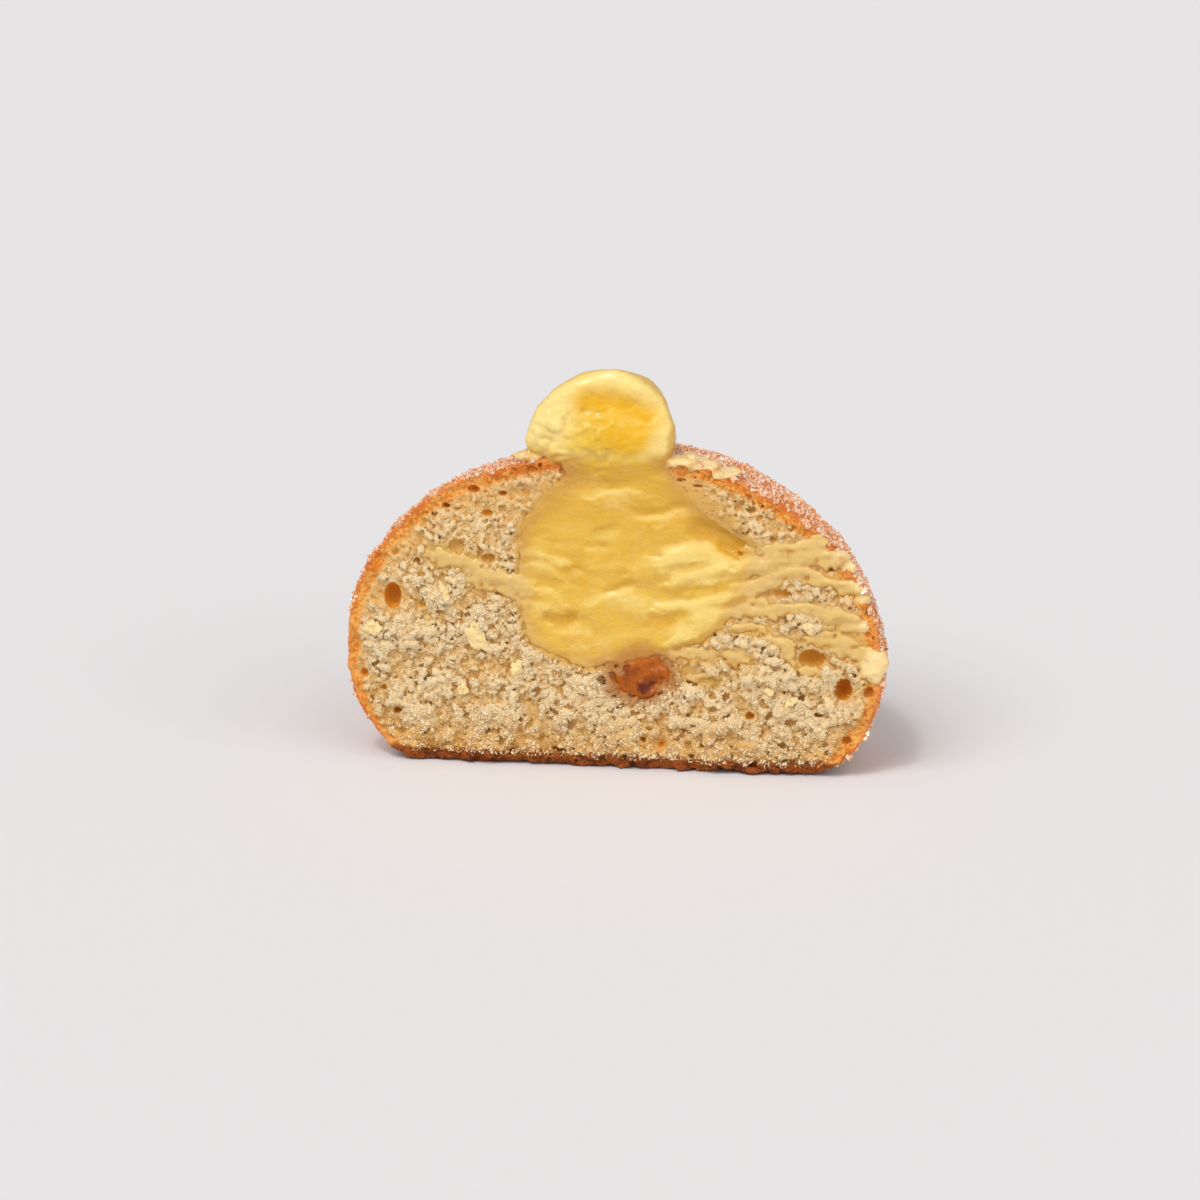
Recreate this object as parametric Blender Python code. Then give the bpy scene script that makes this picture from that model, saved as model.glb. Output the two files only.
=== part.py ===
"""Half of a round custard-filled doughnut, cut straight down through its filling hole.

Metres, +Z up. The cut face looks along -Y. The origin is the middle of the footprint, on the
surface that the doughnut stands on. Three solids: the dough with its fried crust, the custard
that fills it and stands out of the hole on top, and a dab of dark caramel at its lower edge.
"""

import math

import bpy
from mathutils import Vector

MM = 0.001

# The whole doughnut
RADIUS = 47.5 * MM  # at its widest, so the cut face is 95 mm wide
WAIST_HEIGHT = 21.5 * MM  # where it is widest
DOME_HEIGHT = 57.5 * MM  # top of the crust, under the custard head
UNDERSIDE_REACH = 29.8 * MM  # depth of the rounded underside below the waist, before it is flattened
DOME_POWER = 2.0  # 2 is an ellipse
UNDERSIDE_POWER = 2.5  # a little squarer than an ellipse
LUMP_DEPTH = 0.5 * MM  # unevenness of the fried outside

# The round of the outside is made of this many steps
ROUND_STEPS = 44
DOME_STEPS = 18
SIDE_STEPS = 9
FLOOR_STEPS = 4

# Gap kept between touching pieces
GAP = 0.3 * MM

# How far the custard stands out of the cut plane at most, which its head and ridges both reach
FRONT_REACH = 1.4 * MM

# The custard filling: how far it reaches from the middle of its pocket
POCKET_MIDDLE = Vector((4.3, 0.0, 36.5)) * MM
POCKET_SIDE = 20.0 * MM
POCKET_DOWN = 17.3 * MM
POCKET_UP = 16.5 * MM
POCKET_BACK = 17.0 * MM
POCKET_POWER = 2.6
BULGE = 0.8 * MM  # how far the soft custard stands out of the cut

# The neck through the hole in the crust, and the head on top of it
NECK_RADIUS = 7.8 * MM
NECK_MIDDLE = Vector((2.6, 0.2, 54.0)) * MM
NECK_HALF_HEIGHT = 7.0 * MM
HEAD_MIDDLE = Vector((-2.1, 0.4, 58.7)) * MM
HEAD_SIDE = 13.4 * MM
HEAD_BACK = 12.5 * MM
HEAD_UP = 13.2 * MM
HEAD_DOWN = 4.5 * MM
HEAD_POWER = 2.1

# Custard that the knife dragged over the cut crumb, towards +X. Each ridge starts in the pocket,
# and is given by its start, its end and its half width.
RIDGE_BACK = 0.3 * MM
RIDGE_FRONT = FRONT_REACH - GAP - RIDGE_BACK
RIDGE_POWER = 2.2
RIDGES = (
    (Vector((17.0, 0.0, 37.5)) * MM, Vector((38.5, 0.0, 41.0)) * MM, 2.3 * MM),
    (Vector((17.0, 0.0, 33.0)) * MM, Vector((43.0, 0.0, 34.3)) * MM, 1.9 * MM),
    (Vector((17.0, 0.0, 30.5)) * MM, Vector((45.2, 0.0, 21.5)) * MM, 1.9 * MM),
    (Vector((10.5, 0.0, 22.5)) * MM, Vector((25.5, 0.0, 19.5)) * MM, 2.6 * MM),
)

# The dab of caramel, half in the crumb and half in the custard above it
CARAMEL_MIDDLE = Vector((4.6, 0.0, 17.2)) * MM
CARAMEL_SIDE = 5.5 * MM
CARAMEL_UP = 4.2 * MM
CARAMEL_DOWN = 4.4 * MM
CARAMEL_BACK = 5.0 * MM
CARAMEL_BULGE = 0.4 * MM
CARAMEL_POWER = 2.2

# How far a cutter stands out of the cut face
CUTTER_REACH = 4.0 * MM

# The cut plane's place once the footprint's middle is the origin
CUT_PLANE_Y = -(RADIUS - FRONT_REACH) / 2

DOUGH_COLOUR = (0.66, 0.42, 0.17, 1.0)
CUSTARD_COLOUR = (0.84, 0.54, 0.11, 1.0)
CARAMEL_COLOUR = (0.33, 0.09, 0.01, 1.0)


def clear_scene():
    """Removes every object of the startup scene."""
    for thing in list(bpy.data.objects):
        bpy.data.objects.remove(thing)


def food_material(name, colour, roughness):
    """A plain finish of one colour."""
    material = bpy.data.materials.new(name)
    material.use_nodes = True
    shader = material.node_tree.nodes["Principled BSDF"]
    shader.inputs["Base Color"].default_value = colour
    shader.inputs["Roughness"].default_value = roughness
    shader.inputs["Metallic"].default_value = 0.0
    return material


def mesh_object(name, points, faces):
    """A new object with a smooth mesh of these points and faces."""
    mesh = bpy.data.meshes.new(name)
    mesh.from_pydata([tuple(p) for p in points], [], faces)
    mesh.validate()
    mesh.shade_smooth()
    thing = bpy.data.objects.new(name, mesh)
    bpy.context.scene.collection.objects.link(thing)
    return thing


def half_width(height):
    """Radius of the doughnut at this height: an ellipse over a squarer underside."""
    if height >= WAIST_HEIGHT:
        share = (height - WAIST_HEIGHT) / (DOME_HEIGHT - WAIST_HEIGHT)
        return RADIUS * max(0.0, 1.0 - share**DOME_POWER) ** (1.0 / DOME_POWER)
    share = (WAIST_HEIGHT - height) / UNDERSIDE_REACH
    return RADIUS * (1.0 - share**UNDERSIDE_POWER) ** (1.0 / UNDERSIDE_POWER)


def lump(turn, height):
    """How far the fried outside stands out or in here. It is nothing on the widest line."""
    away = (height - WAIST_HEIGHT) / DOME_HEIGHT
    waves = math.sin(3.0 * turn + 0.7) + 0.6 * math.sin(5.0 * turn + 9.0 * away)
    return LUMP_DEPTH * waves * min(1.0, 3.0 * abs(away))


def profile():
    """Radius and height along the outside, from the edge of the flat base up to near the top."""
    steps = []
    for i in range(SIDE_STEPS):
        share = math.sin(0.5 * math.pi * i / SIDE_STEPS)
        height = WAIST_HEIGHT * share
        steps.append((half_width(height), height))
    for i in range(DOME_STEPS):
        angle = 0.5 * math.pi * i / DOME_STEPS
        rise = (DOME_HEIGHT - WAIST_HEIGHT) * math.sin(angle)
        steps.append((RADIUS * math.cos(angle), WAIST_HEIGHT + rise))
    return steps


def dough_body():
    """The half doughnut, solid: a half turn of the profile, closed by the flat cut face."""
    outside = profile()
    base_radius = outside[0][0]
    floor = [(base_radius * i / FLOOR_STEPS, 0.0) for i in range(1, FLOOR_STEPS)]
    column = floor + outside
    points = []
    for step in range(ROUND_STEPS + 1):
        turn = math.pi * step / ROUND_STEPS
        for radius, height in column:
            uneven = lump(turn, height) if height > 0.0 else 0.0
            reach = radius + uneven * min(1.0, radius / (0.3 * RADIUS))
            across = reach * math.cos(turn)
            # The first and last columns lie exactly in the cut plane
            deep = 0.0 if step in (0, ROUND_STEPS) else reach * math.sin(turn)
            points.append((across, deep, height))
    base_middle = len(points)
    points.append((0.0, 0.0, 0.0))
    top_middle = len(points)
    points.append((0.0, 0.0, DOME_HEIGHT))

    tall = len(column)
    faces = []
    for step in range(ROUND_STEPS):
        here = step * tall
        there = here + tall
        for row in range(tall - 1):
            faces.append((here + row, there + row, there + row + 1, here + row + 1))
        faces.append((base_middle, there, here))
        faces.append((top_middle, here + tall - 1, there + tall - 1))
    right_edge = list(range(tall))
    left_edge = list(range(ROUND_STEPS * tall, (ROUND_STEPS + 1) * tall))
    # Seen from -Y: up the right side, over the top and down the left side
    faces.append((base_middle, *right_edge, top_middle, *reversed(left_edge)))
    return mesh_object("dough", points, faces)


def blob(name, middle, reach, power, segments=40, rings=20, grow=0.0):
    """A soft rounded lump. reach is its six distances from the middle: left, right, front, back,
    down and up. A power of 2 is an egg, and a larger one is squarer. Its poles lie along Y."""
    left, right, front, back, down, up = (distance + grow for distance in reach)

    def place(direction):
        share = sum(abs(part) ** power for part in direction) ** (-1.0 / power)
        sides = zip(direction, (left, front, down), (right, back, up))
        return middle + share * Vector([part * (low if part < 0 else high) for part, low, high in sides])

    points = [place(Vector((0.0, -1.0, 0.0)))]
    for ring in range(1, rings):
        away = math.pi * ring / rings
        for segment in range(segments):
            turn = 2.0 * math.pi * segment / segments
            direction = Vector(
                (
                    math.sin(away) * math.cos(turn),
                    -math.cos(away),
                    math.sin(away) * math.sin(turn),
                )
            )
            points.append(place(direction))
    points.append(place(Vector((0.0, 1.0, 0.0))))

    faces = []
    last = len(points) - 1
    for segment in range(segments):
        following = (segment + 1) % segments
        faces.append((0, 1 + segment, 1 + following))
        for ring in range(rings - 2):
            row = 1 + ring * segments
            beyond = row + segments
            faces.append((row + segment, beyond + segment, beyond + following, row + following))
        row = 1 + (rings - 2) * segments
        faces.append((last, row + following, row + segment))
    return mesh_object(name, points, faces)


def ridge(name, start, end, half_width_here):
    """A flattened bar of dragged custard that lies on the cut face, clear of it by the gap."""
    along = end - start
    half = along.length / 2
    reach = (half, half, RIDGE_FRONT, RIDGE_BACK, half_width_here, half_width_here)
    thing = blob(name, Vector((0.0, -GAP - RIDGE_BACK, 0.0)), reach, RIDGE_POWER, 24, 12)
    thing.rotation_euler = (0.0, -math.atan2(along.z, along.x), 0.0)
    thing.location = (start + end) / 2
    return thing


def boolean(thing, other, operation):
    """Applies a Boolean of other to thing with the exact solver, then removes other."""
    bpy.context.view_layer.update()
    modifier = thing.modifiers.new("join", "BOOLEAN")
    modifier.operation = operation
    modifier.solver = "EXACT"
    modifier.object = other
    graph = bpy.context.evaluated_depsgraph_get()
    mesh = bpy.data.meshes.new_from_object(thing.evaluated_get(graph), depsgraph=graph)
    thing.modifiers.clear()
    thing.data = mesh
    bpy.data.objects.remove(other)


def pocket_and_neck(name, front, grow=0.0):
    """The custard inside the dough, up through the hole."""
    reach = (POCKET_SIDE, POCKET_SIDE, front, POCKET_BACK, POCKET_DOWN, POCKET_UP)
    inside = blob(name, POCKET_MIDDLE, reach, POCKET_POWER, grow=grow)
    across = (NECK_RADIUS, NECK_RADIUS, front, NECK_RADIUS, NECK_HALF_HEIGHT, NECK_HALF_HEIGHT)
    neck = blob("neck", NECK_MIDDLE, across, POCKET_POWER, 32, 16, grow=grow)
    boolean(inside, neck, "UNION")
    return inside


def head(name, front, grow=0.0):
    """The head of custard that stands on the dome."""
    reach = (HEAD_SIDE, HEAD_SIDE, front, HEAD_BACK, HEAD_DOWN, HEAD_UP)
    return blob(name, HEAD_MIDDLE, reach, HEAD_POWER, 40, 20, grow=grow)


def caramel_dab(name, front, grow=0.0):
    """The dab of caramel at the lower edge of the custard."""
    reach = (CARAMEL_SIDE, CARAMEL_SIDE, front, CARAMEL_BACK, CARAMEL_DOWN, CARAMEL_UP)
    return blob(name, CARAMEL_MIDDLE, reach, CARAMEL_POWER, 24, 14, grow=grow)


def build_custard():
    """The filling, its head and the dragged ridges, as one solid with a dent for the caramel."""
    custard = pocket_and_neck("custard", BULGE)
    boolean(custard, head("head", FRONT_REACH), "UNION")
    for number, (start, end, width) in enumerate(RIDGES):
        boolean(custard, ridge(f"ridge_{number}", start, end, width), "UNION")
    boolean(custard, caramel_dab("caramel_dent", CUTTER_REACH, GAP), "DIFFERENCE")
    return custard


def build_dough():
    """The half doughnut with room for the custard and the caramel."""
    dough = dough_body()
    boolean(dough, pocket_and_neck("room", CUTTER_REACH, GAP), "DIFFERENCE")
    boolean(dough, head("head_room", CUTTER_REACH, GAP), "DIFFERENCE")
    boolean(dough, caramel_dab("caramel_room", CUTTER_REACH, GAP), "DIFFERENCE")
    return dough


def finish(thing, material):
    """Gives a piece its finish and moves it from the cut plane's frame to the part's."""
    thing.data.materials.clear()
    thing.data.materials.append(material)
    thing.location.y += CUT_PLANE_Y


def main():
    """Builds the three pieces."""
    clear_scene()
    finish(build_dough(), food_material("fried_dough", DOUGH_COLOUR, 0.75))
    finish(build_custard(), food_material("custard", CUSTARD_COLOUR, 0.35))
    finish(caramel_dab("caramel", CARAMEL_BULGE), food_material("caramel", CARAMEL_COLOUR, 0.2))


main()
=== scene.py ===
"""Half of a custard-filled doughnut: torn crumb, sugared crust, soft custard and a dab of caramel."""

import itertools
import logging
import math
from dataclasses import dataclass, field
from enum import Enum
from typing import ClassVar

import bmesh
import bpy
import numpy as np
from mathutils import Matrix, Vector


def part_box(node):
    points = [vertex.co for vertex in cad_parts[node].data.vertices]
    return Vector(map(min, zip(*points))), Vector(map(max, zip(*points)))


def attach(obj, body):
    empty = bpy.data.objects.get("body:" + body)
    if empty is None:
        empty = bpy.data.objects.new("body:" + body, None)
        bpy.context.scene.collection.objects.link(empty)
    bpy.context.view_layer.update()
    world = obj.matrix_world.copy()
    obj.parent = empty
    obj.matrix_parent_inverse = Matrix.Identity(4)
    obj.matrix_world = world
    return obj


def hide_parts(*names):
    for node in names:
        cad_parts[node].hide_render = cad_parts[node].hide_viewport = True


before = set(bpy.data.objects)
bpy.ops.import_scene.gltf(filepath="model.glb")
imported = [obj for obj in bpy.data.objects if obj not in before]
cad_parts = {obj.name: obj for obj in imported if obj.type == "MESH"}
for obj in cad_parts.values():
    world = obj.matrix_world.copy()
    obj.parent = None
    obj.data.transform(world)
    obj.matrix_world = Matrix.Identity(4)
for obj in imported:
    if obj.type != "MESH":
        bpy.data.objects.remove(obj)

log = logging.getLogger("doughnut")

MM = 0.001
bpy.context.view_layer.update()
BODY = "root"

# The shapes below are worked out in the cut's own frame: millimetres, X along the cut face,
# Y behind the cut plane and Z up from the floor.
CUT_PLANE_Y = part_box("dough")[0].y / MM

# How far the lowest points stay above the floor, in millimetres.
FLOOR_GAP = 0.02

# The depth written where a field of lumps holds nothing yet, in millimetres.
NOWHERE = -9.0

Colour = tuple[float, float, float, float]
Array = np.ndarray
Piece = bpy.types.Object
Material = bpy.types.Material

# Layers of random hills: the strength, the seed and the spacing of each.
Hills = tuple[tuple[float, int, float | tuple[float, ...]], ...]

# What moves places to and fro: seed and spacing of the hills, and the reach along X and Z.
Bend = tuple[int, float, tuple[float, float]]


# ---------------------------------------------------------------- numbers and noise


def paint(red: int, green: int, blue: int) -> Colour:
    """A screen colour, 0 to 255, as the linear colour that a shader takes.

    Args:
        red: Screen red.
        green: Screen green.
        blue: Screen blue.

    Returns:
        The linear colour with full alpha.
    """

    def linear(part: int) -> float:
        """One channel, from 0 to 1."""
        share = part / 255
        return share / 12.92 if share <= 0.04045 else ((share + 0.055) / 1.055) ** 2.4

    return (linear(red), linear(green), linear(blue), 1.0)


def ease(low: float, high: float, value: Array) -> Array:
    """A smooth step from 0 at low to 1 at high.

    Args:
        low: Where the step starts.
        high: Where it ends. It may be below low, for a step down.
        value: The values to map.

    Returns:
        The eased shares.
    """
    share = np.clip((value - low) / (high - low), 0.0, 1.0)
    return share * share * (3.0 - 2.0 * share)


def soft_min(one: Array, other: Array, blend: float) -> Array:
    """The smaller of two fields, with the crease between them rounded.

    Args:
        one: A field.
        other: Another field of the same shape.
        blend: How wide the rounding is.

    Returns:
        The joined field.
    """
    gap = np.maximum(blend - np.abs(one - other), 0.0) / blend
    return np.minimum(one, other) - gap * gap * blend * 0.25


def soft_max(one: Array, other: Array, blend: float) -> Array:
    """The larger of two fields, with the crease between them filled.

    Args:
        one: A field.
        other: Another field of the same shape.
        blend: How wide the fillet is.

    Returns:
        The joined field.
    """
    return -soft_min(-one, -other, blend)


# How many hills lie side by side before they repeat, and how high they are drawn.
NOISE_PERIOD = 64
NOISE_GAIN = 1.6


def noise(seed: int, size: float | tuple[float, ...], *where: Array) -> Array:
    """Smooth random hills, mostly from -1 to 1.

    Args:
        seed: Which hills.
        size: Spacing of the hills, one for all directions or one for each.
        where: The coordinates, two or three arrays that broadcast together.

    Returns:
        The height at every point.
    """
    sizes = size if isinstance(size, tuple) else (size,) * len(where)
    table = np.random.default_rng(seed).uniform(-1.0, 1.0, (NOISE_PERIOD,) * len(where))
    table = table.astype(np.float32)
    below, shares = [], []
    for place, spacing in zip(where, sizes):
        scaled = np.asarray(place) / spacing
        whole = np.floor(scaled)
        part = (scaled - whole).astype(np.float32)
        below.append(whole.astype(np.int32))
        shares.append(part * part * (3.0 - 2.0 * part))
    total = np.float32(0.0)
    for corner in itertools.product((0, 1), repeat=len(where)):
        weight = np.float32(NOISE_GAIN)
        for bit, share in zip(corner, shares):
            weight = weight * (share if bit else 1.0 - share)
        nodes = tuple((base + bit) % NOISE_PERIOD for base, bit in zip(below, corner))
        total = total + weight * table[nodes]
    return total


def pile(layers: Hills, *where: Array) -> Array:
    """The height of several layers of hills on each other at these coordinates."""
    return sum(strength * noise(seed, size, *where) for strength, seed, size in layers)


def wander(bend: Bend, x: Array, z: Array) -> tuple[Array, Array]:
    """Moves places on the cut face to and fro, so that what is drawn there isn't ruled."""
    seed, size, reach = bend
    return x + reach[0] * noise(seed, size, x, z), z + reach[1] * noise(seed + 1, size, x, z)


def turn(x: Array, z: Array, angle: float) -> tuple[Array, Array]:
    """The same places along two axes that are turned by an angle in the cut plane."""
    return x * math.cos(angle) + z * math.sin(angle), z * math.cos(angle) - x * math.sin(angle)


def on_cut(x: Array, z: Array) -> tuple[Array, Array, Array]:
    """The places on the cut plane that lie in front of these."""
    return x, 0.0 * x, z


def egg(where: tuple[Array, ...], middle: tuple, low: tuple, high: tuple, power: float) -> Array:
    """How deep points lie in a rounded lump, in millimetres.

    Args:
        where: X, Y and Z of the points.
        middle: The lump's middle.
        low: Its reach towards -X, -Y and -Z.
        high: Its reach towards +X, +Y and +Z.
        power: 2 for an egg, more for a squarer lump.

    Returns:
        The depth, above zero inside.
    """
    total = 0.0
    slope = 0.0
    for place, centre, down, up in zip(where, middle, low, high):
        away = place - centre
        reach = np.where(away < 0.0, down, up)
        share = np.abs(away) / reach
        total = total + share**power
        slope = slope + (share ** (power - 1.0) / reach) ** 2
    total = np.maximum(total, 1e-6)
    size = total ** (1.0 / power)
    steep = np.sqrt(slope) * size ** (1.0 - power)
    return (1.0 - size) / np.maximum(steep, 1e-3)


# ---------------------------------------------------------------- fields and their skins


def box_blur(values: Array, axis: int, reach: int) -> Array:
    """Averages a field over neighbours along one axis.

    Args:
        values: The field.
        axis: Which axis.
        reach: How many neighbours on each side.

    Returns:
        The averaged field.
    """
    margins = [(reach, reach) if side == axis else (0, 0) for side in range(values.ndim)]
    padded = np.pad(values, margins, "edge")
    total = np.zeros_like(values)
    for shift in range(2 * reach + 1):
        part = [slice(None)] * values.ndim
        part[axis] = slice(shift, shift + values.shape[axis])
        total += padded[tuple(part)]
    return total / (2 * reach + 1)


@dataclass(frozen=True)
class Grid:
    """A box of sample points: evenly spaced across and up, and coarser towards the back."""

    x: Array
    y: Array
    z: Array

    @classmethod
    def graded(cls, low: tuple, high: tuple, step: float, fine_to: float, growth: float) -> "Grid":
        """Lays out the sample points.

        Args:
            low: Lowest corner.
            high: Highest corner.
            step: Spacing of the points.
            fine_to: Y up to which the spacing stays even.
            growth: Factor between one spacing and the next behind that.

        Returns:
            The grid.
        """
        depths = list(np.arange(low[1], fine_to, step))
        stride = step
        while depths[-1] < high[1]:
            stride *= growth
            depths.append(depths[-1] + stride)
        return cls(
            np.arange(low[0], high[0] + step, step),
            np.array(depths),
            np.arange(low[2], high[2] + step, step),
        )

    def spread(self) -> tuple[Array, Array, Array]:
        """The three coordinates, shaped so that they broadcast over the grid."""
        return self.x[:, None, None], self.y[None, :, None], self.z[None, None, :]

    def sample(self, values: Array, points: Array) -> Array:
        """Reads a field between its sample points.

        Args:
            values: The field on this grid.
            points: Rows of X, Y and Z.

        Returns:
            One value a row.
        """
        below, shares = [], []
        for axis, places in enumerate((self.x, self.y, self.z)):
            index = np.interp(points[:, axis], places, np.arange(len(places)))
            whole = np.minimum(index.astype(int), len(places) - 2)
            below.append(whole)
            shares.append(index - whole)
        total = np.zeros(len(points))
        for corner in itertools.product((0, 1), repeat=3):
            weight = np.ones(len(points))
            for bit, share in zip(corner, shares):
                weight = weight * (share if bit else 1.0 - share)
            total += weight * values[tuple(base + bit for base, bit in zip(below, corner))]
        return total

    def crowding(self, solid: Array, reach: int, points: Array) -> Array:
        """How much of the room round each point is filled, from 0 to 1.

        Args:
            solid: A field above zero where it is filled.
            reach: How many sample points away still count.
            points: Rows of X, Y and Z.

        Returns:
            One share a row.
        """
        filled = (solid > 0.0).astype(np.float32)
        for axis in range(3):
            filled = box_blur(filled, axis, reach)
        return self.sample(filled, points)

    def stamp(self, depths: Array, middle: tuple, reach: tuple, tilt: float) -> None:
        """Adds an egg to a field of depths, which keeps the larger value everywhere.

        Args:
            depths: The field, which is changed.
            middle: The egg's middle.
            reach: Its half sizes.
            tilt: How far it is turned in the cut plane, in radians.
        """
        size = max(reach) + 0.5
        spans = []
        for places, centre in zip((self.x, self.y, self.z), middle):
            start, end = np.searchsorted(places, (centre - size, centre + size))
            spans.append(slice(start, end))
        block = tuple(spans)
        dx = self.x[spans[0]][:, None, None] - middle[0]
        dy = self.y[spans[1]][None, :, None] - middle[1]
        dz = self.z[spans[2]][None, None, :] - middle[2]
        turned, raised = turn(dx, dz, tilt)
        away = np.sqrt((turned / reach[0]) ** 2 + (dy / reach[1]) ** 2 + (raised / reach[2]) ** 2)
        depths[block] = np.maximum(depths[block], (1.0 - away) * min(reach))

    def wrap(self, solid: Array) -> tuple[Array, Array]:
        """Wraps the part of a field above zero in four-sided faces that look outwards.

        Args:
            solid: The field. It is below zero on the grid's outer layer.

        Returns:
            Rows of X, Y and Z, and rows of four point numbers.
        """
        inside = solid > 0.0
        shape = tuple(length - 1 for length in solid.shape)
        corners = list(itertools.product((0, 1), repeat=3))
        filled = np.zeros(shape, np.int8)
        for corner in corners:
            filled += inside[tuple(slice(bit, bit + length) for bit, length in zip(corner, shape))]
        crossed = (filled > 0) & (filled < 8)
        cells = np.argwhere(crossed)
        number = np.full(shape, -1, np.int32)
        number[crossed] = np.arange(len(cells))

        total = np.zeros((len(cells), 3))
        hits = np.zeros(len(cells))
        for axis in range(3):
            along = np.eye(3, dtype=int)[axis]
            for corner in corners:
                if corner[axis]:
                    continue
                start = cells + corner
                end = start + along
                here = solid[tuple(start.T)]
                there = solid[tuple(end.T)]
                cut = (here > 0.0) != (there > 0.0)
                share = here[cut] / (here[cut] - there[cut])
                total[cut] += np.array(corner) + share[:, None] * along
                hits[cut] += 1.0
        index = cells + total / hits[:, None]
        points = np.stack(
            [
                np.interp(index[:, axis], np.arange(len(places)), places)
                for axis, places in enumerate((self.x, self.y, self.z))
            ],
            axis=1,
        )

        faces = []
        for axis in range(3):
            one, other = np.eye(3, dtype=int)[(axis + 1) % 3], np.eye(3, dtype=int)[(axis + 2) % 3]
            lower = [slice(1, -1)] * 3
            upper = [slice(1, -1)] * 3
            lower[axis] = slice(0, -1)
            upper[axis] = slice(1, None)
            first, second = inside[tuple(lower)], inside[tuple(upper)]
            base = one + other
            for solid_first in (True, False):
                edge = np.argwhere((first == solid_first) & (second != solid_first)) + base
                ring = [edge, edge - one, edge - one - other, edge - other]
                if not solid_first:
                    ring.reverse()
                faces.append(np.stack([number[tuple(node.T)] for node in ring], axis=1))
        return points, np.concatenate(faces)


def largest_shell(points: Array, faces: Array) -> tuple[Array, Array]:
    """Drops every loose crumb and sealed bubble: keeps the one connected skin with most points.

    Args:
        points: Rows of X, Y and Z.
        faces: Rows of point numbers.

    Returns:
        The points and faces that are kept.
    """
    label = np.arange(len(points))
    edges = np.concatenate([faces[:, (side, (side + 1) % faces.shape[1])] for side in range(4)])
    while True:
        before = label.copy()
        lowest = np.minimum(label[edges[:, 0]], label[edges[:, 1]])
        np.minimum.at(label, edges[:, 0], lowest)
        np.minimum.at(label, edges[:, 1], lowest)
        label = label[label]
        label = label[label]
        if np.array_equal(before, label):
            break
    kept = label == np.bincount(label).argmax()
    renumber = np.cumsum(kept) - 1
    return points[kept], renumber[faces[kept[faces[:, 0]]]]


# ---------------------------------------------------------------- meshes


def new_piece(name: str, points: Array, faces: Array, material: Material) -> Piece:
    """A smooth mesh object from points in the cut's frame.

    Args:
        name: The piece's name.
        points: Rows of X, Y and Z in millimetres.
        faces: Rows of three or four point numbers.
        material: Its finish.

    Returns:
        The new object, in metres in the shared frame.
    """
    placed = (points + np.array([0.0, CUT_PLANE_Y, 0.0])) * MM
    sides = faces.shape[1]
    mesh = bpy.data.meshes.new(name)
    mesh.vertices.add(len(placed))
    mesh.vertices.foreach_set("co", placed.astype(np.float32).ravel())
    mesh.loops.add(faces.size)
    mesh.loops.foreach_set("vertex_index", faces.astype(np.int32).ravel())
    mesh.polygons.add(len(faces))
    mesh.polygons.foreach_set("loop_start", np.arange(0, faces.size, sides, dtype=np.int32))
    mesh.update(calc_edges=True)
    mesh.validate()
    mesh.shade_smooth()
    mesh.materials.append(material)
    thing = bpy.data.objects.new(name, mesh)
    bpy.context.scene.collection.objects.link(thing)
    return thing


def above_floor(points: Array) -> Array:
    """The same points, with those that lie lower than the gap over the floor lifted to it."""
    return np.maximum(points, (-np.inf, -np.inf, FLOOR_GAP))


def read(thing: Piece, key: str) -> Array:
    """Three numbers for each point of a piece.

    Args:
        thing: The piece.
        key: "co" for the points' places or "normal" for their directions.

    Returns:
        One row a point, in metres in the shared frame.
    """
    flat = np.zeros(len(thing.data.vertices) * 3, np.float32)
    thing.data.vertices.foreach_get(key, flat)
    return flat.reshape(-1, 3)


def points_of(thing: Piece) -> Array:
    """Rows of X, Y and Z of an object's points, in the cut's frame."""
    return read(thing, "co").astype(float) / MM - np.array([0.0, CUT_PLANE_Y, 0.0])


def thin_out(thing: Piece, most: int, keep: Array) -> None:
    """Merges small faces until a piece has at most this many triangles.

    Args:
        thing: The piece, which is changed.
        most: The most triangles that it may have.
        keep: For each point, from 0, merged as needed, to 1, merged last.
    """
    thing.data.calc_loop_triangles()
    now = len(thing.data.loop_triangles)
    if now <= most:
        return
    group = thing.vertex_groups.new(name="merge_first")
    for level in np.unique(np.round(1.0 - keep, 1)):
        chosen = np.flatnonzero(np.round(1.0 - keep, 1) == level)
        group.add(chosen.tolist(), float(max(level, 0.02)), "REPLACE")
    modifier = thing.modifiers.new("thin_out", "DECIMATE")
    modifier.ratio = most / now
    modifier.vertex_group = group.name
    modifier.vertex_group_factor = 1.0
    graph = bpy.context.evaluated_depsgraph_get()
    mesh = bpy.data.meshes.new_from_object(thing.evaluated_get(graph), depsgraph=graph)
    thing.modifiers.clear()
    thing.vertex_groups.clear()
    thing.data = mesh


def note(thing: Piece, **notes: Array | float) -> None:
    """Stores numbers for each point of a piece, which its finish reads by name.

    Args:
        thing: The piece.
        notes: Under each name one number a point, or one for them all.
    """
    for name, values in notes.items():
        layer = thing.data.attributes.new(name, "FLOAT", "POINT")
        layer.data.foreach_set("value", np.full(len(thing.data.vertices), values, np.float32))


# Where most of the light comes from: up to the left and in front.
TOWARDS_LIGHT = (-0.31, -0.59, 0.74)


def lit_share(thing: Piece) -> Array:
    """How far each point of a piece faces up to the left and front, 0 to 1, for painted light and shade."""
    return ease(0.25, 0.92, read(thing, "normal") @ np.array(TOWARDS_LIGHT))


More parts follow.
